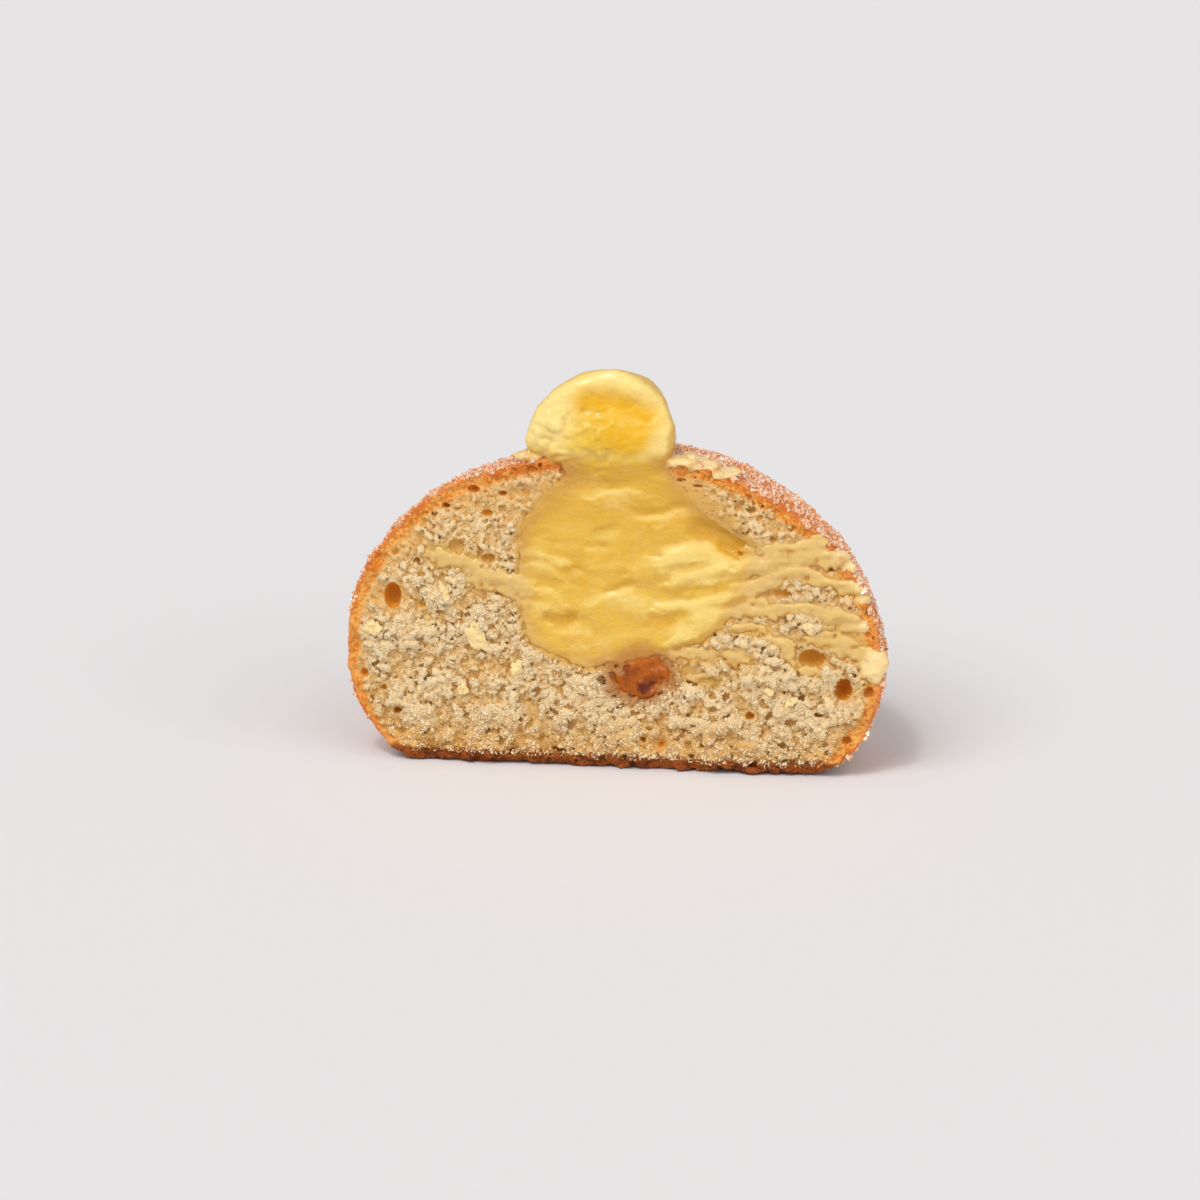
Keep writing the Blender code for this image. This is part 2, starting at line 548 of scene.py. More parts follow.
@dataclass(frozen=True)
class Skin:
    """Triangles of a piece that small things can be scattered over."""

    corners: Array
    normals: Array
    areas: Array

    @classmethod
    def of(cls, thing: Piece) -> "Skin":
        """Reads a piece's triangles, in the cut's frame.

        Args:
            thing: The piece.

        Returns:
            Its skin.
        """
        points = points_of(thing)
        thing.data.calc_loop_triangles()
        flat = np.zeros(len(thing.data.loop_triangles) * 3, np.int32)
        thing.data.loop_triangles.foreach_get("vertices", flat)
        corners = points[flat.reshape(-1, 3)]
        across = np.cross(corners[:, 1] - corners[:, 0], corners[:, 2] - corners[:, 0])
        double = np.linalg.norm(across, axis=1)
        return cls(corners, across / np.maximum(double, 1e-9)[:, None], double / 2.0)

    def middles(self) -> Array:
        """The middle of every triangle."""
        return self.corners.mean(axis=1)

    def scatter(self, wanted: Array, count: int, rng: np.random.Generator) -> tuple[Array, Array]:
        """Picks random places on the triangles.

        Args:
            wanted: How thickly each triangle is covered.
            count: How many places.
            rng: Source of the random draws.

        Returns:
            The places, and the skin's direction at each.
        """
        chance = self.areas * wanted
        chosen = rng.choice(len(chance), count, p=chance / chance.sum())
        share = rng.random((count, 2))
        over = share.sum(axis=1) > 1.0
        share[over] = 1.0 - share[over]
        first, second, third = (self.corners[chosen, corner] for corner in range(3))
        places = first + share[:, :1] * (second - first) + share[:, 1:] * (third - first)
        return places, self.normals[chosen]


def upright_frames(normals: Array, tilt: float, rng: np.random.Generator) -> Array:
    """A random frame for each direction, whose third axis lies near it.

    Args:
        normals: One direction a row.
        tilt: How far the third axis may lean, as a share of its length.
        rng: Source of the random draws.

    Returns:
        Three-by-three matrices whose columns are the axes.
    """
    up = normals + tilt * rng.normal(size=normals.shape)
    up /= np.linalg.norm(up, axis=1)[:, None]
    side = np.cross(up, rng.normal(size=normals.shape))
    side /= np.linalg.norm(side, axis=1)[:, None]
    return np.stack([side, np.cross(up, side), up], axis=2)


def stamped(
    shape: tuple[Array, Array], places: Array, frames: Array, sizes: Array, wobble: Array | None = None
) -> tuple[Array, Array]:
    """Copies of one small shape, joined into one set of points and faces.

    Args:
        shape: Points and faces of the shape, about one unit in radius.
        places: Where each copy goes.
        frames: How each copy is turned.
        sizes: Half sizes of each copy along its own three axes.
        wobble: How far each point of each copy is moved in or out, as a share.

    Returns:
        Points and faces of all the copies.
    """
    base, faces = shape
    local = base[None, :, :] * sizes[:, None, :]
    if wobble is not None:
        local = local * wobble[:, :, None]
    points = np.einsum("nij,nvj->nvi", frames, local) + places[:, None, :]
    offsets = np.arange(len(places)) * len(base)
    joined = faces[None, :, :] + offsets[:, None, None]
    return above_floor(points.reshape(-1, 3)), joined.reshape(-1, faces.shape[1])


def cube_shape() -> tuple[Array, Array]:
    """Points and faces of a cube with sides of two."""
    points = np.array(list(itertools.product((-1.0, 1.0), repeat=3)))
    faces = np.array([(0, 1, 3, 2), (4, 6, 7, 5), (0, 4, 5, 1), (2, 3, 7, 6), (0, 2, 6, 4), (1, 5, 7, 3)])
    return points, faces


def shard_shape() -> tuple[Array, Array]:
    """Points and triangles of a double pyramid that reaches one unit along every axis."""
    points = np.array([(1, 0, 0), (0, 1, 0), (-1, 0, 0), (0, -1, 0), (0, 0, 1), (0, 0, -1)], float)
    sides = [(side, (side + 1) % 4) for side in range(4)]
    faces = [(one, other, 4) for one, other in sides] + [(other, one, 5) for one, other in sides]
    return points, np.array(faces)


def ball_shape(subdivisions: int) -> tuple[Array, Array]:
    """Points and triangles of a ball with a radius of one.

    Args:
        subdivisions: How often its faces are split.

    Returns:
        Rows of X, Y and Z, and rows of three point numbers.
    """
    ball = bmesh.new()
    bmesh.ops.create_icosphere(ball, subdivisions=subdivisions, radius=1.0)
    points = np.array([vertex.co[:] for vertex in ball.verts])
    faces = np.array([[vertex.index for vertex in face.verts] for face in ball.faces])
    ball.free()
    return points, faces


# ---------------------------------------------------------------- shader writing


class Wire:
    """A node's output, on which Python's operators add Math nodes."""

    def __init__(self, recipe: "Recipe", socket: bpy.types.NodeSocket) -> None:
        """Keeps the socket, and the recipe that further nodes go into."""
        self.recipe = recipe
        self.socket = socket

    def _maths(self, operation: str, *values: "Wire | float") -> "Wire":
        """One Math node on these values."""
        inputs = dict(enumerate(values))
        return self.recipe.node("ShaderNodeMath", {"operation": operation}, inputs)

    def __add__(self, other: "Wire | float") -> "Wire":
        """The sum."""
        return self._maths("ADD", self, other)

    __radd__ = __add__

    def __sub__(self, other: "Wire | float") -> "Wire":
        """The difference."""
        return self._maths("SUBTRACT", self, other)

    def __rsub__(self, other: float) -> "Wire":
        """The difference, the other way round."""
        return self._maths("SUBTRACT", other, self)

    def __mul__(self, other: "Wire | float") -> "Wire":
        """The product."""
        return self._maths("MULTIPLY", self, other)

    __rmul__ = __mul__

    def most(self, other: "Wire | float") -> "Wire":
        """The larger of two values."""
        return self._maths("MAXIMUM", self, other)

    def step(self, low: float, high: float) -> "Wire":
        """A smooth step from 0 to 1, or down where high is below low.

        Args:
            low: Where it starts.
            high: Where it ends.

        Returns:
            The step.
        """
        if high < low:
            return 1.0 - self.step(high, low)
        settings = {"interpolation_type": "SMOOTHSTEP"}
        inputs = {"Value": self, "From Min": low, "From Max": high}
        return self.recipe.node("ShaderNodeMapRange", settings, inputs)


class Recipe:
    """One material's node tree, written node by node."""

    # How strong each finer layer of a random pattern is beside the one above it.
    layer_strength = 0.55

    # The sockets of a Mix node for colours: the factor, the two colours, and the result.
    mix_inputs = (0, 6, 7)
    mix_output = 2

    def __init__(self, name: str) -> None:
        """Starts an empty node tree.

        Args:
            name: The material's name.
        """
        self.material = bpy.data.materials.new(name)
        self.material.use_nodes = True
        self.tree = self.material.node_tree
        self.tree.nodes.clear()

    def node(self, kind: str, settings: dict, inputs: dict, output: int | str = 0) -> Wire:
        """Adds a node.

        Args:
            kind: The node's type.
            settings: Its own settings, which are set first.
            inputs: A value or a wire for each named or numbered socket.
            output: Which output the wire leaves from.

        Returns:
            That output.
        """
        made = self.tree.nodes.new(kind)
        for key, value in settings.items():
            setattr(made, key, value)
        for key, value in inputs.items():
            socket = made.inputs[key]
            if isinstance(value, Wire):
                self.tree.links.new(value.socket, socket)
            else:
                socket.default_value = value
        return Wire(self, made.outputs[output])

    def place(self) -> Wire:
        """Position in the object's own frame."""
        return self.node("ShaderNodeTexCoord", {}, {}, "Object")

    def axis(self, name: str) -> Wire:
        """One coordinate of the position: X, Y or Z, in metres."""
        return self.node("ShaderNodeSeparateXYZ", {}, {0: self.place()}, name)

    def noted(self, name: str) -> Wire:
        """A number stored on the mesh's points."""
        return self.node("ShaderNodeAttribute", {"attribute_name": name}, {}, "Fac")

    def speckle(self, spacing: float, detail: float = 3.0, flat: float = 1.0) -> Wire:
        """Soft random pattern from 0 to 1.

        Args:
            spacing: Millimetres from hill to hill.
            detail: How many finer layers lie on it.
            flat: How many times closer the hills are upwards than along X.

        Returns:
            The pattern.
        """
        where = self.place()
        if flat != 1.0:
            inputs = {0: where, 1: (1.0 / flat, 1.0, 1.0)}
            where = self.node("ShaderNodeVectorMath", {"operation": "MULTIPLY"}, inputs)
        scale = 1.0 / (spacing * MM)
        inputs = {"Vector": where, "Scale": scale, "Detail": detail, "Roughness": self.layer_strength}
        return self.node("ShaderNodeTexNoise", {}, inputs)

    def cells(self, spacing: float) -> Wire:
        """Distance to the nearest of random points about this many millimetres apart."""
        inputs = {"Vector": self.place(), "Scale": 1.0 / (spacing * MM)}
        return self.node("ShaderNodeTexVoronoi", {}, inputs, "Distance")

    def over(self, colour: Wire | Colour, *coats: tuple[Wire, Wire | Colour]) -> Wire:
        """Lays further colours over a first one.

        Args:
            colour: The first colour.
            coats: How strongly each further colour covers, from 0 to 1, and that colour.

        Returns:
            The colour that shows in the end.
        """
        for share, coat in coats:
            inputs = dict(zip(self.mix_inputs, (share, colour, coat)))
            colour = self.node("ShaderNodeMix", {"data_type": "RGBA"}, inputs, self.mix_output)
        return colour

    def bump(self, height: Wire, distance: float, strength: float = 1.0) -> Wire:
        """A Normal from a height that stands for this many millimetres."""
        inputs = {"Height": height, "Distance": distance * MM, "Strength": strength}
        return self.node("ShaderNodeBump", {}, inputs)

    def surface(self, **values: Wire | float | Colour) -> Material:
        """Ends the tree in a Principled shader.

        Args:
            values: Its sockets by name, with underscores for spaces.

        Returns:
            The finished material.
        """
        inputs = {name.replace("_", " "): value for name, value in values.items()}
        shader = self.node("ShaderNodeBsdfPrincipled", {}, inputs)
        end = self.tree.nodes.new("ShaderNodeOutputMaterial")
        self.tree.links.new(shader.socket, end.inputs["Surface"])
        return self.material


# ---------------------------------------------------------------- marks on the cut face


class Mark(Enum):
    """How a line drawn on the cut face changes it."""

    CREST = "stands out along the line"
    DRAG = "stands out along the line, steep above it and trailing off below"


@dataclass(frozen=True)
class Stroke:
    """A soft line drawn on the cut face. Height is out of the face, or into it below zero."""

    path: tuple[tuple[float, float], ...]
    width: float
    height: float = 0.0
    mark: Mark = Mark.CREST

    # Shares of the width: how far it covers, and how far a drag mark reaches above and below.
    cover: ClassVar[float] = 0.85
    reach_above: ClassVar[float] = 0.5
    reach_below: ClassVar[float] = 1.3

    def offsets(self, x: Array, z: Array) -> tuple[Array, Array]:
        """Distance to the line, and the same with a minus sign below it.

        Args:
            x: Place along the cut face.
            z: Height above the floor.

        Returns:
            The distance, and the signed distance.
        """
        nearest = np.full(np.broadcast(x, z).shape, 1e6)
        side = np.ones_like(nearest)
        for (left, low), (right, high) in zip(self.path, self.path[1:]):
            run, rise = right - left, high - low
            along = np.clip(((x - left) * run + (z - low) * rise) / (run * run + rise * rise), 0.0, 1.0)
            across, up = x - left - along * run, z - low - along * rise
            distance = np.hypot(across, up)
            closer = distance < nearest
            nearest = np.where(closer, distance, nearest)
            side = np.where(closer, np.sign(run * up - rise * across), side)
        return nearest, side * nearest

    def mask(self, x: Array, z: Array) -> Array:
        """How strongly the line covers each place, from 0 to 1."""
        nearest, _ = self.offsets(x, z)
        return np.exp(-((nearest / (self.cover * self.width)) ** 2))

    def relief(self, x: Array, z: Array) -> Array:
        """How far the line moves the face out.

        Args:
            x: Place along the cut face.
            z: Height above the floor.

        Returns:
            The distance in millimetres.
        """
        nearest, signed = self.offsets(x, z)
        if self.mark is Mark.DRAG:
            above = np.maximum(signed, 0.0) / (self.reach_above * self.width)
            below = (nearest - np.maximum(signed, 0.0)) / (self.reach_below * self.width)
            return self.height * np.exp(-above * above - below * below)
        return self.height * np.exp(-((nearest / self.width) ** 2))


def drag(width: float, height: float, *path: tuple[float, float]) -> Stroke:
    """A line that the knife pushed up, steep above and trailing off below."""
    return Stroke(path, width, height, Mark.DRAG)


@dataclass(frozen=True)
class Film:
    """Where the knife dragged custard thinly over the crumb."""

    proud: float = 0.1
    thinnest: float = 0.15
    back: float = 1.6
    bend: Bend = (73, 2.6, (0.5, 0.35))
    ground_hills: Hills = ((0.24, 22, 8.0), (0.14, 23, 2.7))
    grease: tuple[Stroke, ...] = (
        Stroke(((-11.5, 50.5), (-9.5, 45.0)), 3.0),
        Stroke(((11.0, 52.0), (17.0, 48.0), (21.5, 44.5)), 3.2),
        Stroke(((21.0, 33.0), (27.0, 32.6)), 2.6),
        Stroke(((33.0, 25.6), (44.0, 24.6)), 2.6),
    )
    smears: tuple[Stroke, ...] = (
        drag(2.8, 0.6, (16.0, 36.2), (22.3, 38.8), (28.6, 40.4), (35.5, 41.9), (37.0, 41.7)),
        drag(1.5, 0.56, (21.0, 34.6), (26.1, 35.6), (30.7, 37.0), (33.6, 37.4), (39.0, 35.8), (43.0, 34.2)),
        drag(2.4, 0.36, (20.0, 34.4), (24.0, 34.0), (26.0, 32.6)),
        drag(1.5, 0.42, (20.6, 30.2), (27.5, 30.1), (31.5, 31.0), (34.5, 31.0), (38.5, 29.8)),
        drag(1.9, 0.75, (38.5, 29.9), (40.4, 30.1), (42.6, 29.2)),
        drag(1.5, 0.42, (22.0, 27.0), (27.0, 26.6), (31.0, 24.8)),
        Stroke(((29.8, 24.6), (31.0, 22.0), (33.4, 19.9), (36.4, 19.2)), 1.2, 0.62),
        drag(2.6, 0.55, (37.0, 25.8), (41.5, 25.0), (44.4, 23.4), (45.4, 21.4)),
        Stroke(((9.5, 22.4), (14.0, 21.6), (19.0, 21.4), (24.0, 20.9)), 2.6, 0.3),
        Stroke(((13.0, 17.8), (18.0, 17.0)), 1.8, 0.24),
        drag(2.6, 0.46, (-31.0, 38.3), (-28.8, 38.0), (-24.0, 35.8), (-19.8, 33.9), (-15.0, 33.0)),
    )
    gaps: tuple[Stroke, ...] = (
        Stroke(((34.0, 22.2), (36.4, 22.2)), 2.0),
        Stroke(((28.2, 32.8), (32.0, 33.2)), 1.5),
        Stroke(((40.5, 16.6), (40.8, 17.2)), 2.2),
        Stroke(((29.0, 26.6), (36.0, 27.4)), 1.3),
    )

    def ground(self, x: Array, z: Array) -> Array:
        """How far the cut lies behind the cut plane on the whole, in millimetres."""
        return pile(self.ground_hills, x, z)

    def height(self, x: Array, z: Array) -> Array:
        """How thickly the drag marks stand on the crumb.

        Args:
            x: Place along the cut face.
            z: Height above the floor.

        Returns:
            The thickness in millimetres, below zero beside them.
        """
        thickest = np.zeros(np.broadcast(x, z).shape)
        left, low = wander(self.bend, x, z)
        for smear in self.smears:
            thickest = np.maximum(thickest, smear.relief(left, low))
        for gap in self.gaps:
            thickest = thickest * (1.0 - gap.mask(x, z))
        streaks = 1.0 + 0.3 * noise(70, (14.0, 1.0), x, z - 0.1 * x) + 0.16 * noise(71, 1.9, x, z)
        return thickest * streaks - self.thinnest - 0.08 * noise(75, 0.8, x, z)

    def sheet(self, where: tuple[Array, ...]) -> Array:
        """How deep points lie in the dragged custard.

        Args:
            where: X, Y and Z of the points.

        Returns:
            The depth in millimetres, above zero inside.
        """
        x, y, z = where
        height = self.height(x, z)
        layer = np.minimum(y - self.ground(x, z) + height + self.proud, self.back - y)
        return soft_min(layer, 3.0 * (height - 0.04), 0.2)

    def coat(self, x: Array, z: Array) -> Array:
        """How thickly custard lies over the crumb.

        Args:
            x: Place along the cut face.
            z: Height above the floor.

        Returns:
            The share, from 0 to 1.
        """
        bare = 1.0
        for smear in self.smears:
            bare = bare * (1.0 - smear.mask(x, z))
        for patch in self.grease:
            bare = bare * (1.0 - 0.75 * patch.mask(x, z))
        for gap in self.gaps:
            bare = 1.0 - (1.0 - bare) * (1.0 - gap.mask(x, z))
        patchy = 0.5 + 0.5 * noise(72, (4.0, 1.4), x, z)
        return np.clip((1.0 - bare) * (0.7 + 0.5 * patchy), 0.0, 1.0)


# ---------------------------------------------------------------- dough


@dataclass(frozen=True)
class Outline:
    """The whole doughnut's outside, before it is cut."""

    radius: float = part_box("dough")[1].x / MM
    waist: float = 21.5
    top: float = 57.5
    underside: float = 29.8
    dome_power: float = 2.0
    underside_power: float = 2.5
    lump: float = 0.55

    def depth(self, x: Array, y: Array, z: Array) -> Array:
        """How far below the fried outside each point lies, in millimetres.

        Args:
            x: Place along the cut face.
            y: Place behind the cut plane.
            z: Height above the floor.

        Returns:
            The depth, above zero inside.
        """
        around = np.hypot(x, y)
        above = z > self.waist
        reach = np.where(above, self.top - self.waist, self.underside)
        power = np.where(above, self.dome_power, self.underside_power)
        out = np.maximum(around / self.radius, 1e-3)
        up = np.maximum(np.abs(z - self.waist) / reach, 1e-3)
        size = (out**power + up**power) ** (1.0 / power)
        slope = np.hypot(out ** (power - 1.0) / self.radius, up ** (power - 1.0) / reach)
        return (1.0 - size) / np.maximum(slope * size ** (1.0 - power), 1e-3)

    def unevenness(self, x: Array, y: Array, z: Array) -> Array:
        """How far the fried outside bulges, blisters and wrinkles.

        Args:
            x: Place along the cut face.
            y: Place behind the cut plane.
            z: Height above the floor.

        Returns:
            The distance in millimetres, above zero outwards.
        """
        broad = self.lump * noise(11, 17.0, x, y, z)
        blisters = 0.3 * np.maximum(noise(12, 2.4, x, y, z), 0.0)
        fine = 0.13 * noise(13, 0.9, x, y, z)
        lean = 0.4 * np.tanh(x / 15.0) * ease(40.0, 52.0, z)
        return broad + blisters + fine - lean

    def under_skin(self, x: Array, y: Array, z: Array) -> Array:
        """How far below the uneven fried outside each point lies, in millimetres."""
        return self.depth(x, y, z) + self.unevenness(x, y, z)

    def underneath(self, x: Array, y: Array) -> Array:
        """How far the bumpy underside lies above the floor, in millimetres."""
        bumps = 0.35 * np.maximum(noise(14, 3.6, x, y), 0.0) + 0.25 * np.maximum(noise(15, 1.2, x, y), 0.0)
        return bumps + 0.5 * ease(12.0, 34.0, x) * ease(6.0, 1.0, y)


@dataclass(frozen=True)
class Pore:
    """One of the large bubbles that the knife opened."""

    x: float
    z: float
    half_width: float
    half_height: float
    depth: float


@dataclass
class Dough:
    """The fried dough: a fine torn crumb at the cut, and a crust with no holes behind it."""

    film: Film
    custard: "Custard"
    caramel: "Caramel"
    outline: Outline = field(default_factory=Outline)
    margin: float = 1.6
    front_room: float = 2.2
    floor_room: float = 0.9
    top_room: float = 1.2
    step: float = 0.26
    fine_to: float = 3.4
    growth: float = 1.16
    most_triangles: int = 196000
    floor_rounding: float = 1.6
    torn_to: float = 28.0
    clean_from: float = 40.0
    least_torn: float = 0.1
    bend: Bend = (27, 2.2, (0.3, 0.3))
    clump_hills: Hills = ((0.36, 24, 3.0), (0.2, 30, 1.3), (0.12, 20, 0.72))
    tuft_seed: int = 6
    tuft_count: int = 21000
    smallest_tuft: float = 0.27
    tuft_range: float = 0.6
    narrow_tuft: tuple[float, float, float] = (0.6, 0.5, 0.7)
    wide_tuft: tuple[float, float, float] = (1.1, 0.9, 1.7)
    tuft_fillet: float = 0.13
    bubble_seed: int = 5
    bubble_count: int = 20000
    smallest_bubble: float = 0.2
    largest_bubble: float = 0.8
    bubble_spread: float = 3.2
    bubble_stretch: tuple[float, float] = (0.7, 1.8)
    bubble_tilt: float = 1.2
    crust_room: float = 0.75
    squeeze: float = 0.8
    oily_streak: Stroke = Stroke(((-17.0, 53.7), (-11.0, 54.8), (-5.6, 55.2)), 0.95)
    pores: tuple[Pore, ...] = (
        Pore(-39.3, 29.9, 1.55, 2.6, 3.4),
        Pore(-24.7, 49.9, 1.2, 0.75, 2.0),
        Pore(-29.5, 46.9, 0.75, 0.55, 1.6),
        Pore(-20.5, 52.0, 1.0, 0.7, 0.9),
        Pore(-19.5, 49.4, 0.8, 0.5, 1.5),
        Pore(-22.3, 45.7, 1.1, 0.7, 1.3),
        Pore(-15.5, 49.6, 1.2, 1.1, 0.7),
        Pore(-18.0, 49.0, 0.9, 0.9, 0.6),
        Pore(-27.6, 39.6, 1.5, 1.4, 0.8),
        Pore(-22.1, 37.6, 1.3, 0.9, 1.0),
        Pore(-15.6, 31.0, 0.6, 1.4, 1.0),
        Pore(-34.0, 28.6, 0.9, 0.8, 1.1),
        Pore(-44.4, 15.6, 0.8, 0.9, 1.5),
        Pore(-38.5, 9.0, 0.8, 0.7, 1.5),
        Pore(-41.0, 13.0, 0.7, 0.6, 1.2),
        Pore(-9.5, 3.2, 1.6, 0.6, 1.2),
        Pore(12.0, 53.0, 0.9, 0.35, 1.2),
        Pore(15.0, 52.1, 1.0, 0.3, 1.1),
        Pore(22.8, 43.6, 0.4, 0.5, 1.2),
        Pore(38.3, 38.8, 1.6, 1.2, 1.0),
        Pore(29.6, 33.2, 2.0, 0.9, 1.0),
        Pore(35.2, 21.6, 2.4, 1.8, 2.2),
        Pore(40.7, 16.2, 1.7, 2.1, 3.4),
        Pore(45.2, 15.9, 1.0, 1.1, 1.4),
        Pore(24.3, 10.6, 0.85, 0.8, 1.7),
        Pore(41.4, 6.9, 1.0, 0.8, 1.5),
        Pore(36.5, 11.5, 0.9, 0.5, 1.5),
        Pore(5.4, 5.4, 0.6, 0.5, 1.4),
        Pore(8.6, 4.6, 0.6, 0.6, 1.4),
    )

    def torn(self, x: Array, z: Array) -> Array:
        """Where the crumb tore instead of being cut clean, from 0 to 1."""
        low = ease(self.clean_from, self.torn_to, z + 3.0 * noise(21, 9.0, x, z))
        return np.clip(low, self.least_torn, 1.0)

    def face(self, x: Array, z: Array) -> Array:
        """The cut face of the crumb.

        Args:
            x: Place along the cut face.
            z: Height above the floor.

        Returns:
            How far it lies behind the cut plane, in millimetres.
        """
        rough = self.torn(x, z)
        beside = ease(-3.4, -0.8, self.custard.pocket_depth(on_cut(x, z)))
        bare = (1.0 - self.film.coat(x, z)) * (1.0 - beside)
        left, low = wander(self.bend, x, z)
        clumps = pile(self.clump_hills, left, low)
        cells = 0.24 - 0.4 * np.abs(noise(26, 1.5, left, low)) - 0.24 * np.abs(noise(29, 0.8, left, low))
        return self.film.ground(x, z) - bare * (rough * clumps + (1.0 - rough) * cells)

    def heap(self, grid: Grid) -> Array:
        """Soft tufts of torn crumb that stand on the cut face.

        Args:
            grid: The sample points.

        Returns:
            A field above zero inside the tufts.
        """
        rng = np.random.default_rng(self.tuft_seed)
        tufts = np.full((len(grid.x), len(grid.y), len(grid.z)), NOWHERE, np.float32)
        count = self.tuft_count
        x = rng.uniform(-self.outline.radius, self.outline.radius, count)
        z = rng.uniform(1.5, self.outline.top, count)
        sizes = self.smallest_tuft + self.tuft_range * rng.random(count) ** 2.5
        reaches = sizes[:, None] * rng.uniform(self.narrow_tuft, self.wide_tuft, (count, 3))
        tilts = 3.0 * noise(94, 7.0, x, z) + 0.6 * rng.normal(size=count)
        bare = (1.0 - self.film.coat(x, z)) * ease(-0.6, -1.8, self.custard.pocket_depth(on_cut(x, z)))
        bare = bare * ease(0.0, -0.8, self.caramel.depth(on_cut(x, z)))
        bare = bare * ease(0.12, -0.04, self.film.height(x, z))
        bare = bare * ease(1.6, 3.0, self.outline.depth(*on_cut(x, z)))
        room = 0.35 + 1.1 * sizes
        for pore in self.pores:
            across, up = (x - pore.x) / (pore.half_width + room), (z - pore.z) / (pore.half_height + room)
            bare = np.where(np.hypot(across, up) < 1.0, 0.0, bare)
        wanted = bare * self.torn(x, z) ** 0.5
        y = self.face(x, z) - reaches[:, 1] * rng.uniform(-0.5, 0.6, count)
        for i in np.flatnonzero(rng.random(count) < wanted):
            grid.stamp(tufts, (x[i], y[i], z[i]), tuple(reaches[i]), tilts[i])
        return tufts

    def carve(self, grid: Grid, solid: Array) -> Array:
        """Opens the bubbles of the crumb, which is squeezed shut beside the filling.

        Args:
            grid: The sample points.
            solid: The dough without bubbles.

        Returns:
            The dough with its bubbles.
        """
        rng = np.random.default_rng(self.bubble_seed)
        bubble = np.full(solid.shape, NOWHERE, np.float32)

        for pore in self.pores:
            reach = (pore.half_width, pore.depth, pore.half_height)
            grid.stamp(bubble, (pore.x, 0.1, pore.z), reach, 0.0)

        count = self.bubble_count
        share = rng.random(count)
        sizes = self.smallest_bubble * (1.0 - share) ** (-1.0 / self.bubble_spread)
        sizes = np.sort(np.minimum(sizes, self.largest_bubble))[::-1]
        x = rng.uniform(-self.outline.radius, self.outline.radius, count)
        z = rng.uniform(0.0, self.outline.top, count)
        y = rng.uniform(-0.7, 0.6, count) * sizes
        stretch = rng.uniform(*self.bubble_stretch, (count, 2))
        tilts = rng.uniform(-self.bubble_tilt, self.bubble_tilt, count)
        fate = rng.random(count)
        depth = self.outline.depth(*on_cut(x, z))
        beside = self.custard.pocket_depth(on_cut(x, z))
        coat = self.film.coat(x, z)
        shut = 0.5 * self.torn(x, z)
        for i in range(count):
            size = sizes[i]
            room = depth[i] - self.crust_room - size * 0.85
            if room < 0.0 or beside[i] > -size * 0.6 or coat[i] > 0.35 + 0.3 * fate[i]:
                continue
            if (fate[i] * 7.0) % 1.0 < shut[i]:
                continue
            column = np.searchsorted(grid.x, x[i])
            layer = np.searchsorted(grid.y, y[i])
            row = np.searchsorted(grid.z, z[i])
            if bubble[column, layer, row] > -0.8 * size:
                continue
            flat = 1.0 - 0.35 * math.exp(-depth[i] / 5.0)
            reach = (size * stretch[i, 0], size * 0.68, size * stretch[i, 1] * flat)
            grid.stamp(bubble, (x[i], y[i], z[i]), reach, tilts[i])
        return np.minimum(solid, -bubble)

    def solid(self, grid: Grid) -> Array:
        """The dough's field, with room for the filling and the dab.

        Args:
            grid: The sample points.

        Returns:
            A field above zero inside the dough.
        """
        where = grid.spread()
        x, y, z = where
        outside = self.outline.under_skin(*where)
        solid = soft_min(outside, z - self.outline.underneath(x, y), self.floor_rounding)
        solid = np.minimum(solid, y - self.face(x, z))
        solid = soft_max(solid, self.heap(grid), self.tuft_fillet)
        solid = self.carve(grid, solid)
        room = np.maximum(self.custard.inside_depth(where), self.caramel.depth(where)) - self.squeeze
        return np.minimum(solid, -room).astype(np.float32)

    def build(self, finish: Material) -> Piece:
        """Makes the dough.

        Args:
            finish: The material.

        Returns:
            The piece.
        """
        edge = self.outline.radius + self.margin
        low = (-edge, -self.front_room, -self.floor_room)
        high = (edge, edge, self.outline.top + self.top_room)
        grid = Grid.graded(low, high, self.step, self.fine_to, self.growth)
        solid = self.solid(grid)
        points, faces = largest_shell(*grid.wrap(solid))
        points = above_floor(points)
        log.info("dough skin has %d faces", len(faces))
        thing = new_piece("dough_half", points, faces, finish)
        thin_out(thing, self.most_triangles, ease(7.0, 4.0, points[:, 1]))
        self.describe(thing, grid, solid)
        return thing

    def describe(self, thing: Piece, grid: Grid, solid: Array) -> None:
        """Notes on each point what the finish needs to know.

        Args:
            thing: The dough.
            grid: The sample points of its field.
            solid: Its field.
        """
        points = points_of(thing)
        x, y, z = points.T
        depth = self.outline.under_skin(x, y, z)
        beside = np.maximum(self.custard.pocket_depth(on_cut(x, z)), NOWHERE)
        coat = np.maximum(self.film.coat(x, z), ease(-2.6, -0.2, beside))
        front = ease(3.5, 1.5, y)
        # hollow and behind_cut feed the finish's painted shade in hollows, pits and deeper parts of the
        # cut.
        note(
            thing,
            below_skin=np.minimum(depth, z + 0.6),
            behind_cut=y,
            hollow=grid.crowding(solid, 2, points),
            coat=coat * front,
            stain=ease(-3.2, 0.0, self.caramel.depth(on_cut(x, z))) * front,
            torn=self.torn(x, z),
            oily=self.oily_streak.mask(x, z) * front,
        )


# ---------------------------------------------------------------- custard


